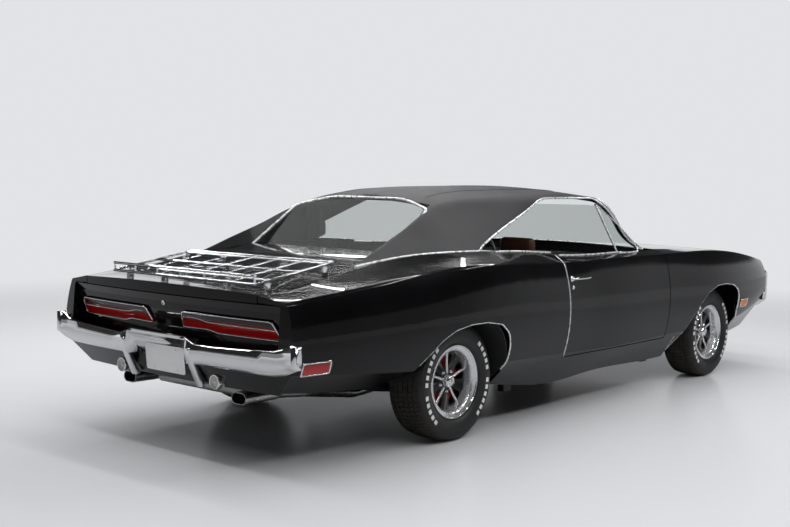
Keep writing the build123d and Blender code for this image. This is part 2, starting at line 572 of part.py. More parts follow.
# ------------------------------------------------------------------ front suspension and steering
KINGPIN_Y = WHEEL_Y - 66
KINGPIN_RADIUS = 13.0
APRON_INNER = 470.0        # the engine bay's inner wall
RAIL_TOP = 440.0           # top of the front side rails
suspension = block(FRONT_AXLE - 60, FRONT_AXLE + 60, -400, 400, 205, 262)
for side in (-1, 1):
    for z, reach in ((228, 110), (398, 90)):
        tip = (FRONT_AXLE, side * KINGPIN_Y, z)
        for dx in (-reach, reach):
            suspension += rod((FRONT_AXLE + dx, side * 420, z), tip, 14)
        eye = Plane(origin=(FRONT_AXLE, side * KINGPIN_Y, z - 14))
        suspension += extrude(eye * Circle(18), 28)
        suspension -= extrude(eye * Circle(KINGPIN_RADIUS + SEAT_GAP), 28)
suspension += both_sides(FRONT_AXLE - 125, FRONT_AXLE + 125, 380, APRON_INNER - SEAT_GAP, 205, RAIL_TOP)
keep("front_suspension", suspension)

for name, side in (("left", 1), ("right", -1)):
    pin = Plane(origin=(FRONT_AXLE, side * KINGPIN_Y, 200))
    knuckle = extrude(pin * Circle(KINGPIN_RADIUS), 228)
    knuckle += block(FRONT_AXLE - 26, FRONT_AXLE + 26, side * KINGPIN_Y - 20, side * KINGPIN_Y + 20, 246, 380)
    disc = Plane(origin=(FRONT_AXLE, side * (WHEEL_Y - 42), TYRE_RADIUS), z_dir=(0, side, 0))
    knuckle += extrude(disc * Circle(DRUM_RADIUS), 36)
    knuckle += extrude(disc * Circle(SHAFT_RADIUS), 42 + 30)
    knuckle += extrude(disc * Circle(24), -30)
    keep(f"knuckle_{name}", knuckle)

# ------------------------------------------------------------------ engine, gearbox, tank and exhaust
ENGINE_REAR = DOOR_FRONT + 110
ENGINE_LOW = 300.0
engine = block(ENGINE_REAR, ENGINE_REAR + 640, -230, 230, ENGINE_LOW, 690)
engine += both_sides(ENGINE_REAR + 30, ENGINE_REAR + 610, 120, 290, 480, 700)
engine += block(ENGINE_REAR + 120, ENGINE_REAR + 500, -130, 130, 680, 740)
engine += extrude(Plane(origin=(ENGINE_REAR + 320, 0, 735)) * Circle(190), 62)
engine += both_sides(FRONT_AXLE - 58, ENGINE_REAR + 640, 150, 220, 262 + SEAT_GAP, 320)
keep("engine", engine)

driveline = block(ENGINE_REAR - 640, ENGINE_REAR - SEAT_GAP, -80, 80, 226, 310)
driveline += rod((REAR_AXLE + 150 + SEAT_GAP, 0, TYRE_RADIUS), (ENGINE_REAR - 620, 0, 290), 38)
keep("driveline", driveline)

PIPE = 27.0
exhaust = []
TIP_MOUTH = TAIL + 140
TIP_LENGTH = 220.0
for side in (-1, 1):
    run = FilletPolyline((ENGINE_REAR + 90, side * 190, ENGINE_LOW - PIPE - SEAT_GAP),
                         (ENGINE_REAR + 20, side * 190, ENGINE_LOW - PIPE - SEAT_GAP),
                         (ENGINE_REAR - 60, side * 192, 215), (DOOR_FRONT - 185, side * 205, 188),
                         (REAR_AXLE + 640, side * 262, 188), (REAR_AXLE + 530, side * 268, 232),
                         (REAR_AXLE + 110, side * 275, 228), (REAR_AXLE - 260, side * 350, 228),
                         (REAR_AXLE - 700, side * 425, 300), (TIP_MOUTH + TIP_LENGTH, side * 431, 325), radius=60)
    pipe = sweep(Plane(origin=run @ 0, z_dir=run % 0) * Circle(PIPE), path=run)
    can_end = Plane(origin=(REAR_AXLE + 170, side * 273, 240), x_dir=(0, 1, 0), z_dir=(1, 0, 0))
    can = extrude(can_end * SlotOverall(180, 104), 340)
    tip_back = Plane(origin=(TIP_MOUTH + TIP_LENGTH, side * 431, 325), x_dir=(0, 1, 0), z_dir=(-1, 0, 0))
    tip = extrude(tip_back * SlotOverall(104, 58), TIP_LENGTH)
    tip -= extrude(tip_back.offset(6) * SlotOverall(98, 52), TIP_LENGTH)
    exhaust += (pipe + can + tip).solids()
keep("exhaust", Compound(children=exhaust))

tank = rounded([(TAIL + 250, 300), (TAIL + 800, 270), (TAIL + 800, BOOT_FLOOR - SEAT_GAP),
                (TAIL + 250, BOOT_FLOOR - SEAT_GAP)], 30)
keep("fuel_tank", across(tank, 330, -330))

# ------------------------------------------------------------------ cabin fittings
SEAT_Y = 372.0
CUSHION_HALF = 237.0
cushion = rounded([(DOOR_FRONT - 820, 290), (DOOR_FRONT - 330, 300),
                   (DOOR_FRONT - 330, 430), (DOOR_FRONT - 820, 385)], 40)
back = rounded([(DOOR_FRONT - 915, 340), (DOOR_FRONT - 780, 340),
                (DOOR_FRONT - 925, 905), (DOOR_FRONT - 1020, 890)], 36)
rest = rounded([(DOOR_FRONT - 1010, 925), (DOOR_FRONT - 930, 940),
                (DOOR_FRONT - 945, 1040), (DOOR_FRONT - 1015, 1030)], 26)
seat = across(cushion, SEAT_Y + CUSHION_HALF, SEAT_Y - CUSHION_HALF)
seat += across(back, SEAT_Y + CUSHION_HALF, SEAT_Y - CUSHION_HALF)
seat += across(rest, SEAT_Y + 130, SEAT_Y - 130)
seat += rod((DOOR_FRONT - 975, SEAT_Y - 60, 880), (DOOR_FRONT - 975, SEAT_Y - 60, 960), 7)
seat += rod((DOOR_FRONT - 975, SEAT_Y + 60, 880), (DOOR_FRONT - 975, SEAT_Y + 60, 960), 7)
seat += block(DOOR_FRONT - 780, DOOR_FRONT - 380, SEAT_Y - 190, SEAT_Y - 160, 239.5, 330)
seat += block(DOOR_FRONT - 780, DOOR_FRONT - 380, SEAT_Y + 160, SEAT_Y + 190, 239.5, 330)
keep("front_seats", seat + mirrored(seat))

TUNNEL_RADIUS = 138.0      # inside of the tunnel over the gearbox and shaft
tunnel_back = REAR_AXLE + 540
low_bore = Plane(origin=(tunnel_back, 0, FLOOR_LOW - 12), x_dir=(0, 1, 0), z_dir=(1, 0, 0))
pan_top = SEAT_PAN + SHEET + SEAT_GAP
rear_cushion = outline((DOOR_REAR - 565, pan_top), (DOOR_REAR - 398, pan_top), (DOOR_REAR - 358, 350),
                       (DOOR_REAR - 298, 305), (DOOR_REAR - 160, 290), (DOOR_REAR - 150, 420),
                       (DOOR_REAR - 215, 490), (DOOR_REAR - 560, 440))
rear_back = outline((DOOR_REAR - 590, 440), (DOOR_REAR - 500, 430), (DOOR_REAR - 612, 870), (DOOR_REAR - 640, 885),
                    (DOOR_REAR - 672, 880), (DOOR_REAR - 625, 640))
rear_seat = across(rear_cushion, 580, -580) + across(rear_back, 560, -560)
rear_seat -= extrude(low_bore * Circle(TUNNEL_RADIUS + SHEET + SEAT_GAP), 500)
keep("rear_seat", rear_seat)

shelf = bent_sheet([(DOOR_REAR - 1190, 948), (DOOR_REAR - 700, 893), (DOOR_REAR - 645, 885 + SEAT_GAP),
                    (DOOR_REAR - 622, 885 + SEAT_GAP)], 8)
keep("parcel_shelf", across(shelf, 520, -520))

COLUMN_TILT = (0.927, 0, -0.375)
WHEEL_HUB = Vector(DOOR_FRONT - 470, 370, 830)
column_way = Vector(*COLUMN_TILT)
column = Plane(origin=WHEEL_HUB + column_way * 34, z_dir=column_way)
steering_column = extrude(column * Circle(28), 470) + extrude(column * Circle(10), -30)
keep("steering_column", steering_column)

wheel_plane = Plane(origin=WHEEL_HUB, z_dir=column_way, x_dir=(0, 1, 0))
steering_wheel = wheel_plane * Torus(188, 12)
hub = extrude(wheel_plane.offset(-22) * Circle(46), 50)
for turn in (0, 120, 240):
    spoke = Pos(0, 94) * Rectangle(26, 188)
    steering_wheel += extrude(wheel_plane.offset(-2) * (Rot(0, 0, turn) * spoke), 10)
steering_wheel += hub
steering_wheel -= extrude(column * Circle(10 + SEAT_GAP), -34.0)
keep("steering_wheel", steering_wheel)

dash_back = FIREWALL - SHEET - SEAT_GAP
dash = outline((DOOR_FRONT - 340, 760), (DOOR_FRONT - 300, 880), (DOOR_FRONT - 200, 903),
               (DOOR_FRONT - 60, 896), (dash_back, 850), (dash_back, 690), (DOOR_FRONT - 200, 640),
               (DOOR_FRONT - 300, 660))
dashboard = across(dash, 780, -780) - extrude(column * Circle(28 + SEAT_GAP), 600)
keep("dashboard", dashboard)

# ------------------------------------------------------------------ floor, sills and inner structure
FLOOR_HALF = 710.0
FLOOR_REAR = 56.0          # the trunk floor ends this far ahead of the rear lip
floor_line = [(TAIL + 30, BOOT_FLOOR), (REAR_AXLE - 400, BOOT_FLOOR), (REAR_AXLE - 250, AXLE_HUMP),
              (REAR_AXLE + 220, AXLE_HUMP), (REAR_AXLE + 350, SEAT_PAN), (REAR_AXLE + 560, SEAT_PAN),
              (DOOR_REAR - 280, FLOOR_LOW), (DOOR_FRONT - 180, FLOOR_LOW), (FIREWALL, 420), (FIREWALL, 880)]
floor = across(bent_sheet(floor_line, SHEET), FLOOR_HALF, -FLOOR_HALF)
bore = extrude(low_bore * Circle(TUNNEL_RADIUS), FIREWALL - tunnel_back + 60)
tunnel_shell = extrude(low_bore * Circle(TUNNEL_RADIUS + SHEET), FIREWALL - tunnel_back) - bore
floor = floor - bore + (tunnel_shell & block(tunnel_back, FIREWALL, -200, 200, FLOOR_LOW, 600))
WHEELHOUSE_INNER = 604.0
WHEELHOUSE_RADIUS = 372.0
floor -= both_sides(REAR_AXLE - 381, REAR_AXLE + 381, WHEELHOUSE_INNER - 2 * SEAT_GAP, 900, 0, 700)
floor = floor & (Pos(TAIL_AXIS, 0, 0) * Cylinder(TAIL_BOW - FLOOR_REAR, 3000))
floor -= both_sides(TAIL, TAIL + 110, 326, 410, 0, 600)
keep("floor_pan", floor)

rocker_zone = block(REAR_AXLE + 200, FRONT_AXLE - 600, FLOOR_HALF + SEAT_GAP, BIG, 0, SILL_TOP - SEAT_GAP)
rocker = (body & rocker_zone) - wheel_holes
rocker -= body_inside & block(REAR_AXLE + 420, FRONT_AXLE - 700, FLOOR_HALF + SKIN, BIG, 0, SILL_TOP - SKIN)
for x in (DOOR_REAR - 400, DOOR_FRONT - 60):
    rocker += block(x - 35, x + 35, 748, 790, 188, 240)
house_clear = Pos(REAR_AXLE, TYRE_RADIUS) * Circle(WHEELHOUSE_RADIUS + 6 + SEAT_GAP)
rocker -= across(house_clear, BIG, WHEELHOUSE_INNER)
keep("rocker_panels", rocker + mirrored(rocker))

house_side = Pos(REAR_AXLE, TYRE_RADIUS) * Circle(WHEELHOUSE_RADIUS + 6)
house_full = across(house_side, BIG, WHEELHOUSE_INNER) & block(-BIG, BIG, 0, BIG, TYRE_RADIUS - 20, BIG)
house_void = across(Pos(REAR_AXLE, TYRE_RADIUS) * Circle(WHEELHOUSE_RADIUS), BIG, WHEELHOUSE_INNER + 6)
wheelhouse = (house_full - house_void) & body_inside
wheelhouse -= block(REAR_AXLE - 60, REAR_AXLE + 60, 590, WHEELHOUSE_INNER + 20, 0, TYRE_RADIUS + 60)
wheelhouse = Pos(0, -SEAT_GAP, -SEAT_GAP) * wheelhouse
keep("wheelhouses", wheelhouse + mirrored(wheelhouse))

APRON_FRONT = FRONT_AXLE + 664
APRON = 8.0                # thickness of the inner wing
APRON_OUTER = 724.0
APRON_SHELF = 720.0
apron_section = outline((APRON_INNER, RAIL_TOP + SEAT_GAP), (APRON_INNER + APRON, RAIL_TOP + SEAT_GAP),
                        (APRON_INNER + APRON, APRON_SHELF), (APRON_OUTER, APRON_SHELF), (APRON_OUTER, 1000),
                        (APRON_OUTER - APRON, 1000), (APRON_OUTER - APRON, APRON_SHELF + APRON),
                        (APRON_INNER, APRON_SHELF + APRON))
apron = along(apron_section, FIREWALL + SHEET + SEAT_GAP, APRON_FRONT - SEAT_GAP) & body_inside
apron = Pos(0, 0, -SEAT_GAP) * apron
keep("engine_aprons", apron + mirrored(apron))

radiator = block(APRON_FRONT, APRON_FRONT + 8, -740, 740, 330, 780)
radiator -= block(APRON_FRONT, APRON_FRONT + 8, -290, 290, 400, 760)
radiator += block(APRON_FRONT - 45, APRON_FRONT + 4, -320, 320, 390, 770)
keep("radiator", radiator)

# ------------------------------------------------------------------ front end
GRILLE_HALF, GRILLE_LOW, GRILLE_HIGH = 832.0, 520.0, 712.0
LOOP_OUTER = [(0, 452), (840, 452), (893, 500), (893, 716), (820, 762), (0, 762)]
loop_view = outline(*[(-y, z) for y, z in LOOP_OUTER[1:5]], *[(y, z) for y, z in reversed(LOOP_OUTER[1:5])])
loop_view = fillet(loop_view.vertices(), 24)
grille_view = Pos(0, (GRILLE_LOW + GRILLE_HIGH) / 2) * RectangleRounded(2 * GRILLE_HALF, GRILLE_HIGH - GRILLE_LOW, 30)
LOOP_FACE = [(16, 764), (46, 750), (55, 725), (55, 620), (52, 540), (38, 490), (0, 450)]
front_bumper = turned(outline(*nose_x(LOOP_FACE), *reversed(nose_x(NOSE_END[1:6], 0.5))), NOSE_AXIS, SWEEP)
front_bumper = front_bumper & along(loop_view, NOSE - 400, NOSE + 200) - along(grille_view, NOSE - 400, NOSE + 200)
keep("front_bumper", front_bumper)

grille_rim = Pos(0, (GRILLE_LOW + GRILLE_HIGH) / 2) * RectangleRounded(2 * GRILLE_HALF + 12, 204, 32)
grille_hole = Pos(0, (GRILLE_LOW + GRILLE_HIGH) / 2) * RectangleRounded(2 * GRILLE_HALF - 24, 170, 20)
grille = nose_slab(NOSE_END[1:6], SEAT_GAP, 60) & along(grille_rim - grille_hole, NOSE - 400, NOSE + 200)
grille += nose_slab([(-40, 800), (-40, 400)], 12, 18) & along(grille_rim, NOSE - 400, NOSE + 200)
BAR_PITCH = 32.0
bar_count = int(GRILLE_HALF // BAR_PITCH)
bar_view = [Pos(i * BAR_PITCH, (GRILLE_LOW + GRILLE_HIGH) / 2) * Rectangle(4, GRILLE_HIGH - GRILLE_LOW - 8)
            for i in range(-bar_count, bar_count + 1)]
bars = nose_slab([(-40, 800), (-40, 400)], -12, 13) & along(Sketch() + bar_view, NOSE - 400, NOSE + 200)
grille += bars
keep("grille", grille)

front_valance = body & nose_slab(NOSE_END, 0, 14) & block(NOSE - 400, NOSE + 200, -740, 740, 250, 452 - SEAT_GAP)
front_valance += (nose_slab([(-45, 470), (-60, 430)], -20, 20)
                  & block(NOSE - 400, NOSE + 200, -700, 700, 436, 452 - SEAT_GAP))
keep("front_valance", front_valance)

# ------------------------------------------------------------------ rear bumper, lamps and plate
BUMPER_FACE = [(-20, 640), (-33, 600), (-40, 555), (-28, 510), (-13, 488)]
BUMPER_BACK = [(0, 480), (-4, 540), (-11, 642)]
BUMPER_VIEW = [(0, 620), (210, 620), (296, 588), (560, 596), (800, 606), (893, 640), (932, 636), (938, 560),
               (932, 530), (860, 500), (790, 486), (300, 492), (0, 492)]
bumper_view = outline(*BUMPER_VIEW[1:-1], *[(-y, z) for y, z in reversed(BUMPER_VIEW[1:-1])])
bumper_face = [(TAIL + dx, z) for dx, z in BUMPER_FACE]
bumper_back = [(TAIL + dx - 0.6, z) for dx, z in BUMPER_BACK]
rear_bumper = turned(outline(*bumper_face, *bumper_back), TAIL_AXIS, SWEEP)
rear_bumper = rear_bumper & along(bumper_view, TAIL - 200, TAIL + 300)
corner_plan = rounded([(TAIL + 26, 900), (TAIL + 72, 912), (TAIL + 72, 932), (TAIL + 26, 938)], 5)
corner = upward(corner_plan, 530, 640)
rear_bumper += corner + mirrored(corner)
PLATE_RECESS = 236.0
rear_bumper += block(TAIL - 20, TAIL + 50, -PLATE_RECESS, PLATE_RECESS, 490, 604)
# the recess behind the plate in side view: its back leans from the first point to the second
RECESS_HEAD, RECESS_FOOT = (TAIL + 28, 560), (TAIL + 45, 400)
recess_side = outline((TAIL - 100, 604), (TAIL - 14, 604), RECESS_HEAD, RECESS_FOOT, (TAIL - 100, 400))
rear_bumper -= across(recess_side, PLATE_RECESS - 4, -PLATE_RECESS + 4)
guard = rounded([(TAIL - 8, 578), (TAIL - 38, 568), (TAIL - 40, 540), (TAIL + 40, 370), (TAIL + 66, 374),
                 (TAIL, 500)], 5)
rear_bumper += across(guard, 276, 240) + across(guard, -240, -276)
keep("rear_bumper", rear_bumper)

valance += block(TAIL + 20, TAIL + FLOOR_REAR - SEAT_GAP, -PLATE_RECESS + 4, PLATE_RECESS - 4, 425, 489)
valance -= across(recess_side, PLATE_RECESS - 4, -PLATE_RECESS + 4)
valance -= block(TAIL - 100, TAIL + 200, -PLATE_RECESS - 1, PLATE_RECESS + 1, 490 - SEAT_GAP, 560)
valance += (body & tail_slab([(-2, 540), (0, 500)], 0, 90)
            & both_sides(TAIL - 100, TAIL + 200, 260, 745, 506, 520 - SEAT_GAP))
REVERSE_LAMP = (368.0, 409.0, 36.0)
lamp_y, lamp_z, lamp_r = REVERSE_LAMP
for side in (-1, 1):
    spot = Plane(origin=(TAIL + 38, side * lamp_y, lamp_z), x_dir=(0, 1, 0), z_dir=(1, 0, 0))
    valance -= extrude(spot * Circle(lamp_r + SEAT_GAP), 80)
keep("rear_valance", valance)
spot = Plane(origin=(TAIL + 46, lamp_y, lamp_z), x_dir=(0, 1, 0), z_dir=(1, 0, 0))
reverse_lamp = extrude(spot * Circle(lamp_r), 52)
keep("reverse_lamps", reverse_lamp + mirrored(reverse_lamp))

LAMP_VIEW = [(118, 652), (144, 730), (738, 729), (769, 640), (366, 641), (303, 655)]
lamp_view = fillet(outline(*LAMP_VIEW).vertices().sort_by(Axis.X)[-3:], 18)
lamp = tail_slab(LAMP_PANEL, -12, -SEAT_GAP) & along(lamp_view, TAIL - 200, TAIL + 300)
keep("tail_lamps", lamp + mirrored(lamp))

PLATE_SIZE = (305.0, 136.0)
PLATE_HOLES = (178.0, 104.0)
PLATE_MIDDLE = 483.0
recess_lean = (RECESS_FOOT[0] - RECESS_HEAD[0]) / (RECESS_HEAD[1] - RECESS_FOOT[1])
plate_x = RECESS_HEAD[0] + (RECESS_HEAD[1] - PLATE_MIDDLE) * recess_lean - SEAT_GAP
plate_plane = Plane(origin=(plate_x, 0, PLATE_MIDDLE), x_dir=(0, -1, 0), z_dir=(-1, 0, -recess_lean))
plate_face = RectangleRounded(*PLATE_SIZE, 12)
for dy in (-1, 1):
    for dz in (-1, 1):
        plate_face -= Pos(dy * PLATE_HOLES[0] / 2, dz * PLATE_HOLES[1] / 2) * Circle(3.5)
plate = extrude(plate_plane * plate_face, 2.0)
keep("number_plate", plate)

keep("side_markers", Part() + marker_lenses)

# ------------------------------------------------------------------ luggage rack and vent windows
RACK_FRONT, RACK_REAR = TAIL + 652, TAIL + 132
RACK_HALF = 554.0
BAR = 7.0


def deck_height(x):
    """Height of the rack's bars, following the slope of the deck."""
    return 967 + (x - RACK_FRONT) * 0.16


def cross_bar(x, lift=0.0):
    return rod((x, -RACK_HALF, deck_height(x) + lift), (x, RACK_HALF, deck_height(x) + lift), BAR)


def rack_rod(start, end, radius):
    """Rack tube between (x, y, height over the bars) points."""
    a, b = [(x, y, deck_height(x) + lift) for x, y, lift in (start, end)]
    return rod(a, b, radius)


FEET = (RACK_FRONT - 44, RACK_REAR + 92)
HOOP = 40.0
deck = trunk_lid & block(FEET[1] - 40, FEET[0] + 40, -700, 700, 780, 1000)
rack = [cross_bar(x) for x in (RACK_FRONT, *FEET, (FEET[0] + FEET[1]) / 2, RACK_REAR)] + [cross_bar(RACK_REAR, HOOP)]
for y in (-RACK_HALF + 4, -370, -185, 0, 185, 370, RACK_HALF - 4):
    rack.append(rack_rod((RACK_FRONT, y, 0), (RACK_REAR, y, 0), BAR - 0.8))
    rack.append(rack_rod((RACK_REAR, y, -2), (RACK_REAR, y, HOOP), BAR - 1.5))
for x in FEET:
    for y in (-RACK_HALF + 12, -246, 246, RACK_HALF - 12):
        for radius, lift in ((BAR - 1, 0), (20, -14)):
            post = rack_rod((x, y, -160), (x, y, lift), radius) - deck
            rack.append(post.solids().sort_by(Axis.Z)[-1])
rack = Part() + rack
keep("luggage_rack", Pos(0, 0, SEAT_GAP) * rack)

vent_side = outline((DOOR_FRONT - 555, 1250), (DOOR_FRONT - 505, 850), (DOOR_FRONT - 252, 850),
                    (DOOR_FRONT - 252, 985), (DOOR_FRONT - 382, 1120))
vent_slope = outline((836, 925), (677, 1252), (667, 1252), (826, 925))
vent = across(vent_side, 900, 600) & along(vent_slope, 0, 1000)
vent = Pos(0, 0, SEAT_GAP) * (vent - body)
keep("vent_window_left", vent)
keep("vent_window_right", mirrored(vent))
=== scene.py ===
import bpy
import bmesh
from math import cos, sin, pi, radians, exp, sqrt
from mathutils import Matrix, Vector
from mathutils.bvhtree import BVHTree


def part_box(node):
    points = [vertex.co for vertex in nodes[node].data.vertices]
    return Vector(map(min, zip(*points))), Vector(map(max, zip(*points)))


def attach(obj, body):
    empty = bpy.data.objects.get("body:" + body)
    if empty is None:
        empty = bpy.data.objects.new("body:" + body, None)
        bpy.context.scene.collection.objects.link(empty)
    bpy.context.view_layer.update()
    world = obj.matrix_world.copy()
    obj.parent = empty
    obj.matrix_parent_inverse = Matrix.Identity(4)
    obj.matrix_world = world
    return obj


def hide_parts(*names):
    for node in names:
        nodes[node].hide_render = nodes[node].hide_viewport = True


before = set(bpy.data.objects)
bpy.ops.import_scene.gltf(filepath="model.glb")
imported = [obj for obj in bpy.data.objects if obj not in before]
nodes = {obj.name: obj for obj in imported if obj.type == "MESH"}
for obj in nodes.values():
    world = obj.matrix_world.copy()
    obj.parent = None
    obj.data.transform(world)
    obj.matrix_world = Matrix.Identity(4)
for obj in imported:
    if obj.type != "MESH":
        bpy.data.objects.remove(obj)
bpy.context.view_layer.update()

scene = bpy.context.scene
SIDES = ((-1, "right"), (1, "left"))
DOWN, UP, FORWARD = (0, 0, -1), (0, 0, 1), (1, 0, 0)

# ---------------------------------------------------------------- studio and camera
# A pale matt floor and a pale room with a darker ceiling, lit by long soft strips overhead, as a car is shown
# indoors. The camera stands behind the car's right rear corner, at eye height.
ROOM = 60.0
EYE = Vector((-6.1821, -4.6375, 1.4028))
YAW, PITCH, ROLL = radians(40.8977), radians(-4.2429), radians(0.934)
LENS = 53.288
WALL = (0.76, 0.77, 0.79)
MIRRORED = 0.62           # the floor looks this much darker in a reflection, as if mats lay round the car
BRIGHT_FLOOR = (4.0, 9.5)               # the floor turns from paint to the walls' glow between these radii
CEILING, MIRRORED_CEILING = 0.30, 0.16  # height, as a direction's z, at which the walls end


def wire(tree, source, target):
    tree.links.new(source, target)


def link(name, data):
    piece = bpy.data.objects.new(name, data)
    scene.collection.objects.link(piece)
    return piece


def dimmed(tree, colour):
    """A colour that polished surfaces reflect darker than the camera sees it."""
    ray = tree.nodes.new("ShaderNodeLightPath")
    mix = tree.nodes.new("ShaderNodeMix")
    mix.data_type = "RGBA"
    mix.inputs["A"].default_value = (*colour, 1)
    mix.inputs["B"].default_value = (*[c * MIRRORED for c in colour], 1)
    wire(tree, ray.outputs["Is Glossy Ray"], mix.inputs["Factor"])
    return mix.outputs["Result"]


def studio_floor():
    bm = bmesh.new()
    bmesh.ops.create_circle(bm, cap_ends=True, segments=96, radius=ROOM)
    mesh = bpy.data.meshes.new("floor")
    bm.to_mesh(mesh)
    bm.free()
    floor = link("floor", mesh)
    coating = bpy.data.materials.new("pale_floor")
    coating.use_nodes = True
    tree = coating.node_tree
    surface = tree.nodes["Principled BSDF"]
    surface.inputs["Roughness"].default_value = 0.22
    glow = tree.nodes.new("ShaderNodeEmission")
    for colour, socket in (((0.62, 0.63, 0.65), surface.inputs["Base Color"]), (WALL, glow.inputs["Color"])):
        wire(tree, dimmed(tree, colour), socket)
    place = tree.nodes.new("ShaderNodeTexCoord")
    reach = tree.nodes.new("ShaderNodeVectorMath")
    reach.operation = "LENGTH"
    fade = tree.nodes.new("ShaderNodeMapRange")
    fade.inputs["From Min"].default_value, fade.inputs["From Max"].default_value = BRIGHT_FLOOR
    fade.interpolation_type = "SMOOTHSTEP"
    mix = tree.nodes.new("ShaderNodeMixShader")
    wire(tree, place.outputs["Object"], reach.inputs[0])
    wire(tree, reach.outputs["Value"], fade.inputs["Value"])
    wire(tree, fade.outputs["Result"], mix.inputs["Fac"])
    wire(tree, surface.outputs["BSDF"], mix.inputs[1])
    wire(tree, glow.outputs["Emission"], mix.inputs[2])
    wire(tree, mix.outputs["Shader"], tree.nodes["Material Output"].inputs["Surface"])
    mesh.materials.append(coating)


def studio_room():
    """Pale walls ahead of the camera under a dark ceiling, and a dim hall behind it."""
    world = bpy.data.worlds.new("room")
    scene.world = world
    world.use_nodes = True
    tree = world.node_tree
    place = tree.nodes.new("ShaderNodeTexCoord")
    parts = tree.nodes.new("ShaderNodeSeparateXYZ")
    wire(tree, place.outputs["Generated"], parts.inputs[0])
    seen, mirrored = [tree.nodes.new("ShaderNodeValToRGB") for i in range(2)]
    for ramp, ceiling in ((seen, CEILING), (mirrored, MIRRORED_CEILING)):
        wire(tree, parts.outputs["Z"], ramp.inputs[0])
        stops = ramp.color_ramp.elements
        stops[0].position, stops[0].color = 0.0, (*WALL, 1)
        stops[1].position, stops[1].color = ceiling, (*WALL, 1)
        for height, shade in ((ceiling + 0.03, 0.05), (0.5, 0.02)):
            stops.new(height).color = (shade, shade, shade * 1.05, 1)
    ray = tree.nodes.new("ShaderNodeLightPath")
    mix = tree.nodes.new("ShaderNodeMix")
    mix.data_type = "RGBA"
    wire(tree, ray.outputs["Is Glossy Ray"], mix.inputs["Factor"])
    wire(tree, seen.outputs["Color"], mix.inputs["A"])
    wire(tree, mirrored.outputs["Color"], mix.inputs["B"])
    ahead = tree.nodes.new("ShaderNodeVectorMath")
    ahead.operation = "DOT_PRODUCT"
    ahead.inputs[1].default_value = (cos(YAW), sin(YAW), 0)
    wire(tree, place.outputs["Generated"], ahead.inputs[0])
    hall = tree.nodes.new("ShaderNodeMapRange")
    hall.inputs["From Min"].default_value, hall.inputs["From Max"].default_value = 0.15, 0.75
    hall.inputs["To Min"].default_value = 0.24
    wire(tree, ahead.outputs["Value"], hall.inputs["Value"])
    wire(tree, mix.outputs["Result"], tree.nodes["Background"].inputs["Color"])
    wire(tree, hall.outputs["Result"], tree.nodes["Background"].inputs["Strength"])


def strip_light(name, place, size, power, turn=0.0):
    lamp = bpy.data.lights.new(name, "AREA")
    lamp.shape, lamp.size, lamp.size_y = "RECTANGLE", size[0], size[1]
    lamp.energy = power
    holder = link(name, lamp)
    holder.location = place
    holder.rotation_euler = (0, 0, turn)
    holder.visible_camera = False
    return holder


def camera():
    ahead = Vector((cos(PITCH) * cos(YAW), cos(PITCH) * sin(YAW), sin(PITCH)))
    right = Vector((sin(YAW), -cos(YAW), 0))
    up = right.cross(ahead)
    rolled = right * cos(ROLL) + up * sin(ROLL)
    upright = up * cos(ROLL) - right * sin(ROLL)
    lens = bpy.data.cameras.new("camera")
    lens.lens, lens.sensor_width, lens.clip_end = LENS, 36.0, 200.0
    eye = link("camera", lens)
    eye.matrix_world = Matrix.Translation(EYE) @ Matrix((rolled, upright, -ahead)).transposed().to_4x4()
    scene.camera = eye


studio_floor()
studio_room()
ceiling = strip_light("soft_ceiling", (0, 0, 5.2), (15.0, 13.0), 620)
ceiling.visible_glossy = False
for row in range(4):
    strip_light(f"strip_{row}", (-3.4 + 2.3 * row, 0.0, 4.2), (0.12, 9.0), 75)
strip_light("side_strip_right", (0.5, -4.2, 4.0), (9.0, 0.12), 90)
strip_light("side_strip_left", (0.5, 4.2, 4.0), (9.0, 0.12), 90)
camera()
scene.view_settings.view_transform = "Standard"


# ---------------------------------------------------------------- body paint
# Pressed steel panels in gloss black enamel under clear lacquer, polished flat, with a trace of the spray
# gun's orange peel. Seams between the panels stay open, as on the real body.
def new_finish(name, colour, roughness, metallic=0.0):
    finish = bpy.data.materials.new(name)
    finish.use_nodes = True
    surface = finish.node_tree.nodes["Principled BSDF"]
    surface.inputs["Base Color"].default_value = (*colour, 1)
    surface.inputs["Roughness"].default_value = roughness
    surface.inputs["Metallic"].default_value = metallic
    return finish, finish.node_tree, surface


def noise_on_object(tree, scale, detail=3.0, stretch=(1, 1, 1)):
    place = tree.nodes.new("ShaderNodeTexCoord")
    lay = tree.nodes.new("ShaderNodeMapping")
    lay.inputs["Scale"].default_value = stretch
    noise = tree.nodes.new("ShaderNodeTexNoise")
    noise.inputs["Scale"].default_value = scale
    noise.inputs["Detail"].default_value = detail
    wire(tree, place.outputs["Object"], lay.inputs["Vector"])
    wire(tree, lay.outputs["Vector"], noise.inputs["Vector"])
    return noise.outputs["Fac"]


def cells_on_object(tree, scale):
    place = tree.nodes.new("ShaderNodeTexCoord")
    cells = tree.nodes.new("ShaderNodeTexVoronoi")
    cells.inputs["Scale"].default_value = scale
    wire(tree, place.outputs["Object"], cells.inputs["Vector"])
    return cells.outputs["Distance"]


def spread(tree, value, low, high):
    """Maps a 0..1 pattern onto low..high."""
    span = tree.nodes.new("ShaderNodeMapRange")
    span.inputs["To Min"].default_value = low
    span.inputs["To Max"].default_value = high
    wire(tree, value, span.inputs["Value"])
    return span.outputs["Result"]


def mottle(tree, value, dark, light, surface):
    """Varies the base colour between two shades over a pattern."""
    ramp = tree.nodes.new("ShaderNodeValToRGB")
    ramp.color_ramp.elements[0].color = (*dark, 1)
    ramp.color_ramp.elements[1].color = (*light, 1)
    ramp.color_ramp.elements[0].position, ramp.color_ramp.elements[1].position = 0.3, 0.7
    wire(tree, value, ramp.inputs[0])
    wire(tree, ramp.outputs[0], surface.inputs["Base Color"])


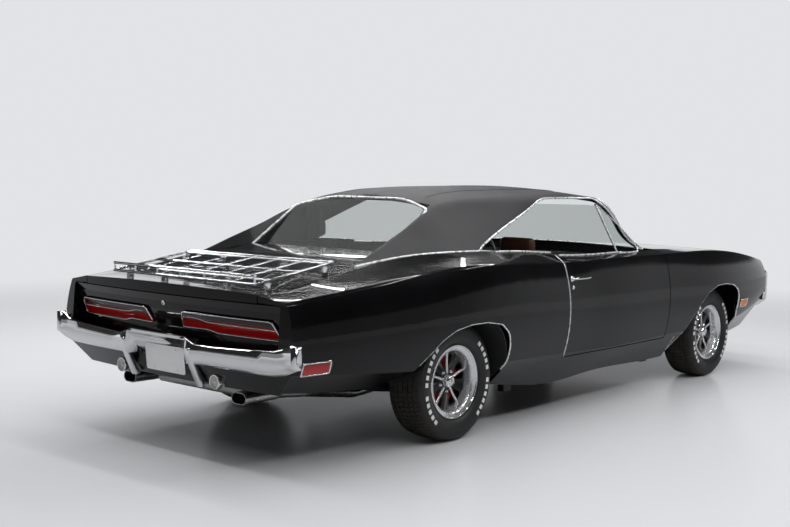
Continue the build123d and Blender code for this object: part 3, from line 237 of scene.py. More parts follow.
def relief(tree, value, surface, strength, depth, socket="Normal"):
    """Raises a pattern on the surface, depth in metres."""
    bump = tree.nodes.new("ShaderNodeBump")
    bump.inputs["Strength"].default_value = strength
    bump.inputs["Distance"].default_value = depth
    wire(tree, value, bump.inputs["Height"])
    wire(tree, bump.outputs["Normal"], surface.inputs[socket])


def worn_finish(name, dark, light, rough, metallic=0.0, scale=6.0, bump=0.0, grain=400.0):
    """A finish whose colour and roughness drift a little over the surface, with a fine relief."""
    finish, tree, surface = new_finish(name, light, rough[1], metallic)
    drift = noise_on_object(tree, scale)
    mottle(tree, drift, dark, light, surface)
    wire(tree, spread(tree, drift, *rough), surface.inputs["Roughness"])
    if bump:
        relief(tree, noise_on_object(tree, grain, 2.0), surface, 0.3, bump)
    return finish


def enamel():
    finish, tree, surface = new_finish("black_enamel", (0.0035, 0.0035, 0.004), 0.16)
    surface.inputs["Coat Weight"].default_value = 1.0
    surface.inputs["Coat Roughness"].default_value = 0.012
    surface.inputs["Coat IOR"].default_value = 1.32
    surface.inputs["Specular IOR Level"].default_value = 0.08
    mottle(tree, noise_on_object(tree, 3.0), (0.002, 0.002, 0.0023), (0.004, 0.004, 0.0046), surface)
    wire(tree, spread(tree, noise_on_object(tree, 2.0), 0.13, 0.22), surface.inputs["Roughness"])
    relief(tree, noise_on_object(tree, 260.0, 1.0), surface, 0.02, 0.0002, "Coat Normal")
    return finish


def finish_nodes(names, finish):
    """Paints CAD nodes that are kept as they are."""
    for name in names.split():
        for slot in nodes[name].material_slots:
            slot.material = finish


black_enamel = enamel()
finish_nodes("quarter_panels front_fenders door_left door_right hood trunk_lid cowl_panel rocker_panels "
             "rear_valance front_valance tail_panel", black_enamel)


# ---------------------------------------------------------------- vinyl roof
# Dark grey grained vinyl glued over the steel roof and down the sail panels, with two seams along the top
# where its three lengths are welded together. It is satin and looks greyer on top where it is lit; its grey
# drifts a little at random.
def vinyl():
    finish, tree, surface = new_finish("roof_vinyl_grain", (0.02, 0.02, 0.022), 0.5)
    mottle(tree, noise_on_object(tree, 2.2, 5.0), (0.016, 0.016, 0.018), (0.026, 0.026, 0.029), surface)
    wire(tree, spread(tree, noise_on_object(tree, 7.0, 4.0), 0.40, 0.54), surface.inputs["Roughness"])
    relief(tree, cells_on_object(tree, 420.0), surface, 0.30, 0.0008)
    return finish


WELD = 3e-5               # facets' corners nearer than this are one corner


def merged(name):
    """A CAD node's faces with their loose facets joined again."""
    bm = bmesh.new()
    bm.from_mesh(nodes[name].data)
    bmesh.ops.remove_doubles(bm, verts=bm.verts, dist=WELD)
    return bm


def as_piece(name, bm, finish, body, smooth=35):
    """A finished piece on a body, with its edges sharp above an angle in degrees."""
    mesh = bpy.data.meshes.new(name)
    bm.to_mesh(mesh)
    bm.free()
    for one in finish if isinstance(finish, list) else [finish]:
        mesh.materials.append(one)
    mesh.shade_smooth()
    mesh.set_sharp_from_angle(angle=radians(smooth))
    piece = link(name, mesh)
    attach(piece, body)
    return piece


def evaluated(piece):
    """A piece's mesh with its modifiers applied, and the modifiers gone."""
    mesh = bpy.data.meshes.new_from_object(piece.evaluated_get(bpy.context.evaluated_depsgraph_get()))
    piece.modifiers.clear()
    piece.data = mesh
    mesh.name = piece.name


def surface_of(*names):
    """Search tree over the faces of the named CAD nodes."""
    bm = bmesh.new()
    for name in names:
        bm.from_mesh(nodes[name].data)
    tree = BVHTree.FromBMesh(bm)
    bm.free()
    return tree


def lie_on(tree, starts, way, lift=0.0):
    """Drops points along a direction onto a surface, and lifts them off it by a small distance."""
    way = Vector(way).normalized()
    found = [tree.ray_cast(Vector(p), way) for p in starts]
    return [hit[0] + hit[1] * lift for hit in found if hit[0] is not None]


def rounded_bead(name, points, radius, finish, body, closed=False):
    """Solid round bead along a line of points."""
    curve = bpy.data.curves.new(name, "CURVE")
    curve.dimensions, curve.bevel_depth, curve.bevel_resolution = "3D", radius, 2
    curve.use_fill_caps = not closed
    line = curve.splines.new("POLY")
    line.points.add(len(points) - 1)
    line.use_cyclic_u = closed
    for spot, point in zip(line.points, points):
        spot.co = (*point, 1)
    holder = link(name + "_curve", curve)
    mesh = bpy.data.meshes.new_from_object(holder.evaluated_get(bpy.context.evaluated_depsgraph_get()))
    bpy.data.objects.remove(holder)
    mesh.name = name
    piece = link(name, mesh)
    mesh.materials.clear()
    mesh.materials.append(finish)
    mesh.shade_smooth()
    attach(piece, body)


def extruded(bm):
    """Extrudes all faces of a sheet in place, and gives the new corners."""
    pulled = bmesh.ops.extrude_face_region(bm, geom=bm.faces[:])
    return [v for v in pulled["geom"] if isinstance(v, bmesh.types.BMVert)]


def pulled_out(bm, way):
    """Turns a sheet into a solid by pulling a copy of its faces out one way."""
    bmesh.ops.translate(bm, vec=way, verts=extruded(bm))
    bmesh.ops.recalc_face_normals(bm, faces=bm.faces)


def sheet_between(near, far):
    """A strip of faces that joins two lines of points."""
    bm = bmesh.new()
    pairs = [(bm.verts.new(a), bm.verts.new(b)) for a, b in zip(near, far)]
    for (a, b), (c, d) in zip(pairs, pairs[1:]):
        bm.faces.new((a, b, d, c))
    return bm


VOID_MIDDLE, VOID_LENGTH, VOID_WIDTH = -1.008, 0.170, 0.98
VOID_FLOOR = 0.80
GLASS_TOP_EDGE = -1.065   # the roof's skin has no top behind this, where the rear glass starts
ROOF_THICK = 0.027
SEAM_FRONT, SEAM_STEP, SEAM_Y, SEAM_DRAW = 0.27, 0.06, 0.40, 0.0015


def opened_roof():
    """The roof with the headlining's void carried back to the rear glass, under the panel's inner skin."""
    bm = bmesh.new()
    bmesh.ops.create_grid(bm, x_segments=4, y_segments=16, size=0.5)
    for v in bm.verts:
        x, y = VOID_MIDDLE + v.co.x * VOID_LENGTH, v.co.y * VOID_WIDTH
        skin = lie_on(roof_top, [(max(x, GLASS_TOP_EDGE), y, 2.0)], DOWN)[0]
        v.co = (x, y, skin.z - ROOF_THICK)
    for v in extruded(bm):
        v.co.z = VOID_FLOOR
    bmesh.ops.recalc_face_normals(bm, faces=bm.faces)
    mesh = bpy.data.meshes.new("void")
    bm.to_mesh(mesh)
    bm.free()
    void = link("void", mesh)
    roof = as_piece("roof_vinyl_cover", merged("roof"), roof_vinyl, "body", 30)
    cut = roof.modifiers.new("void", "BOOLEAN")
    cut.operation, cut.solver, cut.object = "DIFFERENCE", "EXACT", void
    evaluated(roof)
    bpy.data.objects.remove(void)
    roof.data.set_sharp_from_angle(angle=radians(30))
    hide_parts("roof")


roof_vinyl = vinyl()
roof_top = surface_of("roof")
opened_roof()
for side, place in SIDES:
    above = [(SEAM_FRONT - SEAM_STEP * i, side * (SEAM_Y - SEAM_DRAW * i), 2.0) for i in range(22)]
    rounded_bead(f"roof_seam_{place}", lie_on(roof_top, above, DOWN, 0.0004), 0.0022, roof_vinyl, "body")


# ---------------------------------------------------------------- bright mouldings
# Polished stainless steel strips: wheel lips, the windows' surrounds, the joint under the vinyl and the belt.
# Each follows the pressed edge of the panel that carries it, and is clipped or screwed to it.
def polished_steel():
    finish, tree, surface = new_finish("polished_stainless", (0.90, 0.90, 0.91), 0.28, 0.70)
    mottle(tree, noise_on_object(tree, 9.0), (0.84, 0.84, 0.85), (0.93, 0.93, 0.94), surface)
    wire(tree, spread(tree, noise_on_object(tree, 30.0), 0.22, 0.34), surface.inputs["Roughness"])
    return finish


def chrome_plate():
    finish, tree, surface = new_finish("chrome_plate", (0.92, 0.93, 0.94), 0.06, 0.98)
    mottle(tree, noise_on_object(tree, 5.0), (0.88, 0.89, 0.90), (0.94, 0.945, 0.95), surface)
    wire(tree, spread(tree, noise_on_object(tree, 14.0), 0.025, 0.065), surface.inputs["Roughness"])
    relief(tree, noise_on_object(tree, 30.0, 2.0), surface, 0.015, 0.001)
    return finish


def crease_line(name, facing, keep, least=25):
    """Longest chain of a CAD node's sharp edges that border a face looking one way."""
    facing = Vector(facing).normalized()
    bm = merged(name)
    near = {}
    for edge in bm.edges:
        if len(edge.link_faces) != 2 or edge.calc_face_angle(0) < radians(least):
            continue
        looks = sorted(face.normal.dot(facing) for face in edge.link_faces)
        if looks[1] > 0.45 and looks[0] < 0.3 and keep((edge.verts[0].co + edge.verts[1].co) / 2):
            for a, b in (edge.verts, reversed(edge.verts)):
                near.setdefault(a, []).append(b)
    left, chains = sorted(near, key=lambda v: v.index), []
    while left:
        ends = [v for v in left if sum(n in left for n in near[v]) == 1]
        chain = [(ends or left)[0]]
        while chain[-1] in left:
            left.remove(chain[-1])
            onward = [n for n in near[chain[-1]] if n in left]
            if onward:
                chain.append(onward[0])
        chains.append([v.co.copy() for v in chain])
    bm.free()
    return max(chains, key=run_length)


def run_length(points):
    return sum((b - a).length for a, b in zip(points, points[1:]))


def even_line(points, step=0.015, passes=2, closed=False):
    """The same line with evenly spaced points, its kinks smoothed out."""
    if closed:
        points = points + points[:1]
    count = max(3, round(run_length(points) / step))
    stride, walked, line = run_length(points) / count, 0.0, [points[0].copy()]
    for a, b in zip(points, points[1:]):
        length = (b - a).length
        while length > 0 and walked + length >= stride * len(line) and len(line) <= count:
            line.append(a.lerp(b, (stride * len(line) - walked) / length))
        walked += length
    if closed:
        line = line[:count]
    for i in range(passes):
        last = len(line) - 1
        line = [p.copy() if not closed and k in (0, last) else
                (line[k - 1] + p * 2 + line[(k + 1) % len(line)]) / 4 for k, p in enumerate(line)]
    return line


def tucked(points, depth=0.0055):
    """The line moved in from the car's right side, so that a bead on it stays within the body's width."""
    return [p + Vector((0, depth, 0)) for p in points]


def other_side(points):
    return [Vector((p.x, -p.y, p.z)) for p in points]


def pair_of_beads(name, points, radius, finish, bodies=("body",), closed=False):
    """The same bright bead on the car's right and left sides."""
    for place, line, body in (("right", points, bodies[0]), ("left", other_side(points), bodies[-1])):
        rounded_bead(f"{name}_{place}", line, radius, finish, body, closed)


stainless = polished_steel()
chrome = chrome_plate()
RIGHT, LEFT = (0, -1, 0), (0, 1, 0)
BODY_SIDE = -0.6          # skin further right than this is the car's right side
HEM_END = (-0.93, 1.04)   # the vinyl's hem runs behind and below this (x, z), the window frame elsewhere
DOORS = ("door_right", "door_left")
# each moulding lies on the longest sharp edge inside a window of x, y and z round its place
rear_lip = crease_line("quarter_panels", RIGHT,
                       lambda p: p.y < BODY_SIDE and p.z < 0.66 and -1.72 < p.x < -0.935)
pair_of_beads("rear_wheel_lip", tucked(even_line(rear_lip)), 0.0055, stainless)
front_lip = crease_line("front_fenders", RIGHT, lambda p: p.y < BODY_SIDE and p.z < 0.69 and 1.0 < p.x < 2.1)
pair_of_beads("front_wheel_lip", tucked(even_line(front_lip)), 0.0055, stainless)
opening = even_line(crease_line("roof", RIGHT, lambda p: p.y < -0.5 and p.z > 0.93))
hem = [p for p in opening if p.x < HEM_END[0] and p.z < HEM_END[1]]
frame_line = [p for p in opening if not (p.x < HEM_END[0] and p.z < HEM_END[1])]
pair_of_beads("vinyl_hem_strip", hem, 0.0060, stainless)
pair_of_beads("side_window_frame", frame_line, 0.0065, stainless)
door_edge = crease_line("door_right", RIGHT, lambda p: p.x < -0.32)
pair_of_beads("door_edge_guard", even_line(door_edge), 0.0035, stainless, DOORS)
screen = crease_line("windscreen", (0.6, 0, 0.8), lambda p: True)
rounded_bead("windscreen_surround", even_line(screen), 0.0075, stainless, "body")
rear_edge = crease_line("rear_window", (-0.6, 0, 0.8), lambda p: True)
rounded_bead("rear_window_surround", even_line(rear_edge, closed=True), 0.0085, stainless, "body",
             True)
shoulder = surface_of("door_right", "quarter_panels")
for part, bodies, x_rear, x_front, y in (("quarter", ("body",), -0.900, -0.346, -0.7975),
                                         ("door", DOORS, -0.328, 0.440, -0.822)):
    row = [(x_rear + (x_front - x_rear) * k / 24, y, 1.3) for k in range(25)]
    pair_of_beads(f"{part}_belt_strip", lie_on(shoulder, row, DOWN, 0.003), 0.0062, stainless, bodies)
vent_edge = crease_line("vent_window_right", RIGHT, lambda p: True)
pair_of_beads("vent_window_frame", even_line(vent_edge, closed=True), 0.0055, stainless, DOORS, True)


# ---------------------------------------------------------------- glass
# Laminated screen and vent windows and a toughened rear window, with a slight green tint, clean and polished,
# set behind the bright surrounds. The doors' main glass is wound down out of sight.
def window_glass(name, bend):
    finish, tree, surface = new_finish(name, (0.95, 0.99, 0.975), 0.0)
    surface.inputs["Transmission Weight"].default_value = 1.0
    surface.inputs["IOR"].default_value = bend
    mottle(tree, noise_on_object(tree, 1.5), (0.94, 0.985, 0.97), (0.96, 0.995, 0.98), surface)
    return finish


finish_nodes("rear_window", window_glass("toughened_glass", 1.45))
finish_nodes("windscreen vent_window_left vent_window_right", window_glass("laminated_glass", 1.18))


# ---------------------------------------------------------------- tail lamps and side markers
# Long one-piece lenses moulded in dark red plastic over black housings. A thin plated bezel frames each, and
# a bright rib with a step divides its upper band from the lighter part below; each lens's colour is painted
# darker towards its top as shade. Small lenses mark the car's sides, red behind and amber in front.
def moulded_lens(name, dark, light, band):
    """Fluted plastic that turns from light at the bottom of a band of heights to dark at its top: painted
    shade.
    """
    finish, tree, surface = new_finish(name, light, 0.12)
    surface.inputs["Coat Weight"].default_value = 0.35
    surface.inputs["Coat Roughness"].default_value = 0.03
    surface.inputs["Specular IOR Level"].default_value = 0.25
    place = tree.nodes.new("ShaderNodeTexCoord")
    split = tree.nodes.new("ShaderNodeSeparateXYZ")
    wire(tree, place.outputs["Object"], split.inputs[0])
    flutes = tree.nodes.new("ShaderNodeTexWave")
    flutes.bands_direction = "Y"
    flutes.inputs["Scale"].default_value = 18.0
    wire(tree, place.outputs["Object"], flutes.inputs["Vector"])
    relief(tree, flutes.outputs["Fac"], surface, 0.25, 0.0015)
    # painted shade: the colour darkens from the bottom of the band of heights to its top
    height = tree.nodes.new("ShaderNodeMapRange")
    height.inputs["From Min"].default_value, height.inputs["From Max"].default_value = band
    wire(tree, split.outputs["Z"], height.inputs["Value"])
    mottle(tree, height.outputs["Result"], light, dark, surface)
    return finish


# heights over which each lens is painted darker towards its top, as shade
LAMP_SHADE_BAND, MARKER_SHADE_BAND = (0.655, 0.730), (0.47, 0.57)
lamp_red = moulded_lens("lamp_lens_red", (0.012, 0.002, 0.002), (0.30, 0.006, 0.006), LAMP_SHADE_BAND)
marker_red = moulded_lens("marker_lens_red", (0.22, 0.02, 0.02), (0.36, 0.03, 0.03), MARKER_SHADE_BAND)
amber = moulded_lens("marker_lens_amber", (0.55, 0.12, 0.01), (0.70, 0.18, 0.02), MARKER_SHADE_BAND)
finish_nodes("tail_lamps", lamp_red)
finish_nodes("side_markers", black_enamel)
bezel = crease_line("tail_lamps", (-1, 0, 0), lambda p: p.y < 0)
pair_of_beads("tail_lamp_bezel", even_line(bezel, 0.010, 1, True), 0.0042, chrome, closed=True)
RIB = [(-0.175, 0.708), (-0.245, 0.706), (-0.268, 0.702), (-0.292, 0.694), (-0.315, 0.692), (-0.50, 0.690),
       (-0.744, 0.688)]
behind = even_line([Vector((-3, y, z)) for y, z in RIB], 0.02, 1)
pair_of_beads("tail_lamp_rib", lie_on(surface_of("tail_lamps"), behind, FORWARD, 0.0005), 0.0028, chrome)
LENS_THICK, LENS_LEAN = 0.006, 0.12
side_skin = surface_of("side_markers")
for x, z, half_length, half_height, lens, place in ((-2.400, 0.519, 0.082, 0.028, marker_red, "rear"),
                                                    (2.036, 0.515, 0.066, 0.027, amber, "front")):
    lean = half_height * LENS_LEAN
    corners = [(x - half_length - lean, z - half_height), (x - half_length + lean, z + half_height),
               (x + half_length + lean, z + half_height), (x + half_length - lean, z - half_height)]
    edge = even_line([Vector((px, -2, pz)) for px, pz in corners], 0.006, 1, True)
    outline = lie_on(side_skin, edge, LEFT, 0.0015)
    pair_of_beads(f"{place}_marker_bezel", outline, 0.0042, chrome, closed=True)
    for (side, where), line in zip(SIDES, (outline, other_side(outline))):
        bm = bmesh.new()
        bm.faces.new([bm.verts.new(p) for p in line])
        pulled_out(bm, (0, -side * LENS_THICK, 0))
        as_piece(f"{place}_marker_lens_{where}", bm, lens, "body")


def turned(name, profile, finish, body, place, way, steps=32):
    """A turned piece: (out, radius) points spun about its own axis, set at a place and facing one way."""
    bm = bmesh.new()
    points = [bm.verts.new((radius, 0, out)) for out, radius in profile]
    edges = [bm.edges.new(pair) for pair in zip(points, points[1:])]
    bmesh.ops.spin(bm, geom=points + edges, cent=(0, 0, 0), axis=(0, 0, 1), angle=2 * pi, steps=steps,
                   use_merge=True)
    bmesh.ops.remove_doubles(bm, verts=bm.verts, dist=1e-6)
    bmesh.ops.recalc_face_normals(bm, faces=bm.faces)
    turn = Vector((0, 0, 1)).rotation_difference(Vector(way)).to_matrix().to_4x4()
    bmesh.ops.transform(bm, matrix=Matrix.Translation(place) @ turn, verts=bm.verts)
    return as_piece(name, bm, finish, body)


BUTTON = [(-0.004, 0.0), (-0.004, 0.014), (0.003, 0.014), (0.006, 0.011), (0.006, 0.005), (0.004, 0.0)]
LOCK_HEIGHT = 0.763
lock_place = lie_on(surface_of("trunk_lid", "tail_panel"), [(-3, 0, LOCK_HEIGHT)], FORWARD)[0]
turned("boot_lock", BUTTON, chrome, "body", lock_place, (-1, 0, 0.1))


# ---------------------------------------------------------------- bumpers, plate and reverse lamps
# Heavy pressed steel bumpers, triple plated, with two guards at the rear, and a plated luggage rack. A blank
# white plate hangs between the guards, with a round reverse lamp on each side of it. Bare steel exhausts.
finish_nodes("luggage_rack", chrome)
for name in ("front_bumper", "rear_bumper"):
    bumper = as_piece(name + "_plated", merged(name), chrome, "body", 48)
    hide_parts(name)
plate_white = worn_finish("plate_white", (0.82, 0.82, 0.81), (0.88, 0.88, 0.87), (0.30, 0.40), 0.0, 8.0,
                          0.0001)
finish_nodes("number_plate", plate_white)
clear_lens = worn_finish("clear_lens", (0.42, 0.41, 0.36), (0.55, 0.54, 0.48), (0.08, 0.16), 0.0, 60.0,
                         0.0008, 240)
finish_nodes("reverse_lamps", clear_lens)
LAMP_RING = [(-0.02, 0.0375), (0.004, 0.0375), (0.007, 0.035), (0.006, 0.030), (-0.001, 0.0285),
             (-0.02, 0.0285), (-0.02, 0.0375)]
LAMP_SCREW = [(0, 0), (0, 0.007), (0.003, 0.005), (0.004, 0)]
LAMP_Y, LAMP_HEIGHT, LAMP_WAY = 0.368, 0.409, (-1, 0, 0.02)
lamp_face = surface_of("reverse_lamps")
for side, place in SIDES:
    spot = lie_on(lamp_face, [(-3, side * LAMP_Y, LAMP_HEIGHT)], FORWARD)[0]
    turned(f"reverse_lamp_bezel_{place}", LAMP_RING, chrome, "body", spot, LAMP_WAY)
    turned(f"reverse_lamp_screw_{place}", LAMP_SCREW, chrome, "body", spot, LAMP_WAY, 16)
exhaust_steel = worn_finish("exhaust_steel", (0.35, 0.34, 0.33), (0.62, 0.61, 0.60), (0.18, 0.34), 1.0, 12.0)
finish_nodes("exhaust", exhaust_steel)


# ---------------------------------------------------------------- road wheels
# Steel wheels with a polished dish and trim ring, a black painted centre under five narrow polished spokes, a
# plated cap and five plated nuts. The brake drum behind is painted red.
def wheel_frame(place):
    low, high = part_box("tyre_" + place)
    return (Vector(low) + Vector(high)) / 2, -1 if "right" in place else 1


def brushed_dish():
    finish, tree, surface = new_finish("polished_dish", (0.84, 0.85, 0.86), 0.26, 0.80)
    brushed = noise_on_object(tree, 60.0, 2.0, (1, 0.2, 1))
    mottle(tree, brushed, (0.76, 0.77, 0.78), (0.88, 0.89, 0.90), surface)
    wire(tree, spread(tree, noise_on_object(tree, 25.0), 0.18, 0.30), surface.inputs["Roughness"])
    return finish


dish = brushed_dish()
wheel_black = worn_finish("wheel_black", (0.006, 0.006, 0.006), (0.012, 0.012, 0.012), (0.25, 0.35),
                          0.0, 20.0)
drum_red = worn_finish("drum_red", (0.34, 0.012, 0.012), (0.46, 0.02, 0.02), (0.3, 0.45), 0.0, 25.0, 0.0002)
WHEELS = ("front_left", "front_right", "rear_left", "rear_right")
SPOKES = 5
SPOKE_RADIUS = 0.0080
DISH_RADIUS = 0.156                        # the rim is bright outside this radius, black inside it
CAP_RADIUS, CAP_FACE = 0.036, 0.043        # and plated again on the cap in the middle
NUT_CIRCLE, NUT_SEAT = 0.056, 0.034
# turned and drawn forms as (distance out from the wheel's middle, radius); the spoke as (radius, out)
TRIM_RING = [(0.082, 0.188), (0.094, 0.1895), (0.0975, 0.1925), (0.0975, 0.1965), (0.094, 0.199),
             (0.088, 0.199), (0.082, 0.188)]
SPOKE = [(0.040, 0.040), (0.060, 0.0375), (0.10, 0.0355), (0.14, 0.036), (0.157, 0.038)]
NUT = [(-0.006, 0), (-0.006, 0.0105), (0.008, 0.0105), (0.014, 0.006), (0.016, 0)]
DRUM = [(-0.030, 0), (-0.030, 0.1412), (-0.0065, 0.1412), (-0.0065, 0.132), (-0.0068, 0.06), (-0.0068, 0.032),
        (-0.02, 0.032), (-0.030, 0)]


def spoke_way(step):
    angle = pi / 2 + step * 2 * pi / SPOKES
    return Vector((cos(angle), 0, sin(angle)))


def dressed_rim(place, body):
    centre, side = wheel_frame(place)
    bm = bmesh.new()
    bm.from_mesh(nodes["rim_" + place].data)
    bmesh.ops.remove_doubles(bm, verts=bm.verts, dist=2e-5)
    for face in bm.faces:
        where = face.calc_center_median() - centre
        out, radius = where.y * side, Vector((where.x, where.z)).length
        on_cap = out > CAP_FACE and radius < CAP_RADIUS
        face.material_index = 2 if on_cap else 0 if radius > DISH_RADIUS else 1
        face.smooth = True
    rim = as_piece(f"rim_{place}_dressed", bm, [dish, wheel_black, chrome], body, 30)
    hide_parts("rim_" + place)
    axle = Vector((0, side, 0))
    turned("trim_ring_" + place, TRIM_RING, chrome, body, centre, axle, 72)
    for i in range(SPOKES):
        arm = [centre + spoke_way(i) * r + axle * out for r, out in SPOKE]
        rounded_bead(f"spoke_{place}_{i}", arm, SPOKE_RADIUS, dish, body)
        seat = centre + spoke_way(i + 0.5) * NUT_CIRCLE + axle * NUT_SEAT
        turned(f"wheel_nut_{place}_{i}", NUT, chrome, body, seat, axle, 6)
    carrier = "body" if "rear" in place else "knuckle_" + place.split("_")[1]
    turned("drum_" + place, DRUM, drum_red, carrier, centre, axle, 48)


for place in WHEELS:
    dressed_rim(place, "wheel_" + place)


# ---------------------------------------------------------------- tyres
# Radial tyres with an all-weather block tread, ribs moulded round the sidewalls and raised white marks in two
# arcs, left as plain bars. Black rubber, a little dusty on the tread and satin where it has been dressed.
def rubber(name, dark, light, rough):
    finish, tree, surface = new_finish(name, light, rough[1])
    mottle(tree, noise_on_object(tree, 18.0, 5.0), dark, light, surface)
    wire(tree, spread(tree, noise_on_object(tree, 40.0), *rough), surface.inputs["Roughness"])
    relief(tree, noise_on_object(tree, 900.0, 2.0), surface, 0.3, 0.0004)
    return finish


sidewall_rubber = rubber("sidewall_rubber", (0.010, 0.010, 0.011), (0.017, 0.017, 0.018), (0.42, 0.55))
tread_rubber = rubber("tread_rubber", (0.020, 0.018, 0.015), (0.042, 0.038, 0.031), (0.7, 0.85))
white_rubber = rubber("white_rubber", (0.66, 0.66, 0.64), (0.76, 0.76, 0.74), (0.5, 0.6))
# outer half of the tyre's outline, as (distance out, radius), from under the tread to the bead
SIDEWALL = [(0.060, 0.3095), (0.088, 0.3075), (0.100, 0.3045), (0.107, 0.299), (0.1105, 0.293),
            (0.1125, 0.288), (0.1122, 0.286), (0.1145, 0.2845), (0.1155, 0.280), (0.1165, 0.268),
            (0.1168, 0.250), (0.1155, 0.238), (0.1138, 0.2345), (0.1130, 0.2325), (0.1090, 0.222),
            (0.1020, 0.211), (0.0990, 0.2085), (0.0960, 0.2082), (0.0930, 0.203), (0.0900, 0.198),
            (0.0850, 0.190)]
CROWN = 0.3105
PITCHES = 72
# the tread's ribs, as (place across, width, radius of the blocks' middle, tilt in degrees)
RIBS = [(-0.082, 0.029, 0.3085, 11), (-0.049, 0.028, 0.3115, 2), (-0.0165, 0.028, 0.3125, 0),
        (0.0165, 0.028, 0.3125, 0), (0.049, 0.028, 0.3115, -2), (0.082, 0.029, 0.3085, -11)]
BLOCK_DEPTH, BLOCK_LENGTH = 0.0095, 0.0222
BARS = [-46, -37.5, -29, -20.5, -12, -3.5, 12, 20.5, 29, 37.5, 46]    # degrees from the arc's middle
BAR_RADIUS, BAR_OUT = 0.262, 0.1166
BAR_SIZE = (0.021, 0.0030, 0.0235, 1)


def tyre_form():
    """One tyre about its own axis, along Y, with its outer face towards +Y."""
    bm = bmesh.new()
    section = SIDEWALL[::-1] + [(0, CROWN)] + [(-y, r) for y, r in SIDEWALL]
    points = [bm.verts.new((r, y, 0)) for y, r in section]
    edges = [bm.edges.new((a, b)) for a, b in zip(points, points[1:] + points[:1])]
    bmesh.ops.spin(bm, geom=points + edges, cent=(0, 0, 0), axis=(0, 1, 0), angle=2 * pi, steps=96,
                   use_merge=True)
    bmesh.ops.remove_doubles(bm, verts=bm.verts, dist=1e-6)

    def add_block(lay, size, finish):
        block = bmesh.ops.create_cube(bm, size=1.0, matrix=lay @ Matrix.Diagonal(size))
        for face in {f for v in block["verts"] for f in v.link_faces}:
            face.material_index = finish

    for pitch in range(PITCHES):
        for rib, (y, width, radius, tilt) in enumerate(RIBS):
            angle = 2 * pi * (pitch + 0.5 * (rib % 2) + 0.25 * (rib % 3)) / PITCHES
            lay = Matrix.Rotation(angle, 4, "Y") @ Matrix.Translation((radius, y, 0))
            lay @= Matrix.Rotation(radians(-tilt), 4, "Z")
            add_block(lay, (BLOCK_DEPTH, width, BLOCK_LENGTH, 1), 1)
    for middle in (0, 180):
        for turn in BARS:
            lay = Matrix.Rotation(radians(middle + turn), 4, "Y")
            add_block(lay @ Matrix.Translation((BAR_RADIUS, BAR_OUT, 0)), BAR_SIZE, 2)
    bmesh.ops.recalc_face_normals(bm, faces=bm.faces)
    return bm


for place in WHEELS:
    centre, side = wheel_frame(place)
    bm = tyre_form()
    turn = Matrix.Rotation(0 if side > 0 else pi, 4, "Z")
    bmesh.ops.transform(bm, matrix=Matrix.Translation(centre) @ turn, verts=bm.verts)
    rubbers = [sidewall_rubber, tread_rubber, white_rubber]
    tyre = as_piece(f"tyre_{place}_tread", bm, rubbers, "wheel_" + place, 28)
    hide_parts("tyre_" + place)


# ---------------------------------------------------------------- seats
# Front buckets and rear bench in brown leather over foam: crowned cushions sewn in narrow channels, with
# separate headrests. Each swells from its foam under pressure before its channels are pulled in.
def leather_brown():
    finish, tree, surface = new_finish("brown_leather", (0.085, 0.030, 0.018), 0.42)
    mottle(tree, noise_on_object(tree, 6.0, 5.0), (0.060, 0.021, 0.013), (0.105, 0.038, 0.023), surface)
    wire(tree, spread(tree, noise_on_object(tree, 22.0), 0.36, 0.50), surface.inputs["Roughness"])
    relief(tree, cells_on_object(tree, 500.0), surface, 0.25, 0.0008)
    return finish


leather = leather_brown()
PRESSURE, TICKS = 4.0, 16
EDGE_ROUND = 0.022
CHANNEL_DEPTH, CHANNEL_WIDTH = 0.0055, 0.008
CHANNELLED = 0.72         # share of a pad's width that is sewn in channels


def swell(piece, cap):
    """Blows a closed form up like stuffed foam, no point moving further than cap."""
    rest = [v.co.copy() for v in piece.data.vertices]
    cloth = piece.modifiers.new("stuffing", "CLOTH")
    cloth.settings.use_pressure = True
    cloth.settings.uniform_pressure_force = PRESSURE
    cloth.settings.effector_weights.gravity = 0.0
    cloth.point_cache.frame_end = TICKS
    for tick in range(1, TICKS + 1):
        scene.frame_set(tick)
    blown = bpy.data.meshes.new_from_object(piece.evaluated_get(bpy.context.evaluated_depsgraph_get()))
    piece.modifiers.clear()
    for vertex, start, end in zip(piece.data.vertices, rest, blown.vertices):
        push = end.co - start
        vertex.co = start + (push.normalized() * min(push.length, cap) if push.length > 0 else push)
    scene.frame_set(1)


def pad(name, corners, width, middle, channel=None, cap=0.014, cell=0.013, shrink=0.010):
    """A stuffed pad whose side view has these (x, z) corners, centred at y = middle.

    It starts smaller by shrink all round and swells by no more than cap. Its seams are channel apart.
    """
    bm = bmesh.new()
    centre = Vector((sum(c[0] for c in corners), sum(c[1] for c in corners))) / len(corners)
    ring = []
    for x, z in corners:
        inwards = (centre - Vector((x, z))).normalized() * shrink
        ring.append(bm.verts.new((x + inwards.x, middle - width / 2 + shrink, z + inwards.y)))
    bm.faces.new(ring)
    pulled_out(bm, (0, width - 2 * shrink, 0))
    bmesh.ops.bevel(bm, geom=bm.edges[:], offset=EDGE_ROUND, segments=3, profile=0.5, affect="EDGES",
                    material=-1)
    piece = as_piece(name, bm, leather, "body", 180)
    grid = piece.modifiers.new("foam", "REMESH")
    grid.mode, grid.voxel_size = "VOXEL", cell
    evaluated(piece)
    swell(piece, cap)
    finer = piece.modifiers.new("finer", "SUBSURF")
    finer.levels = finer.render_levels = 1
    evaluated(piece)
    cover = piece.data
    cover.materials.clear()
    cover.materials.append(leather)
    if channel:
        normals = [v.normal.copy() for v in cover.vertices]
        for vertex, normal in zip(cover.vertices, normals):
            across = vertex.co.y - middle
            if abs(across) < width / 2 * CHANNELLED and abs(normal.y) < 0.5:
                from_seam = abs((across / channel) - round(across / channel)) * channel
                vertex.co -= normal * CHANNEL_DEPTH * exp(-(from_seam / CHANNEL_WIDTH) ** 2)
    cover.shade_smooth()
    return piece


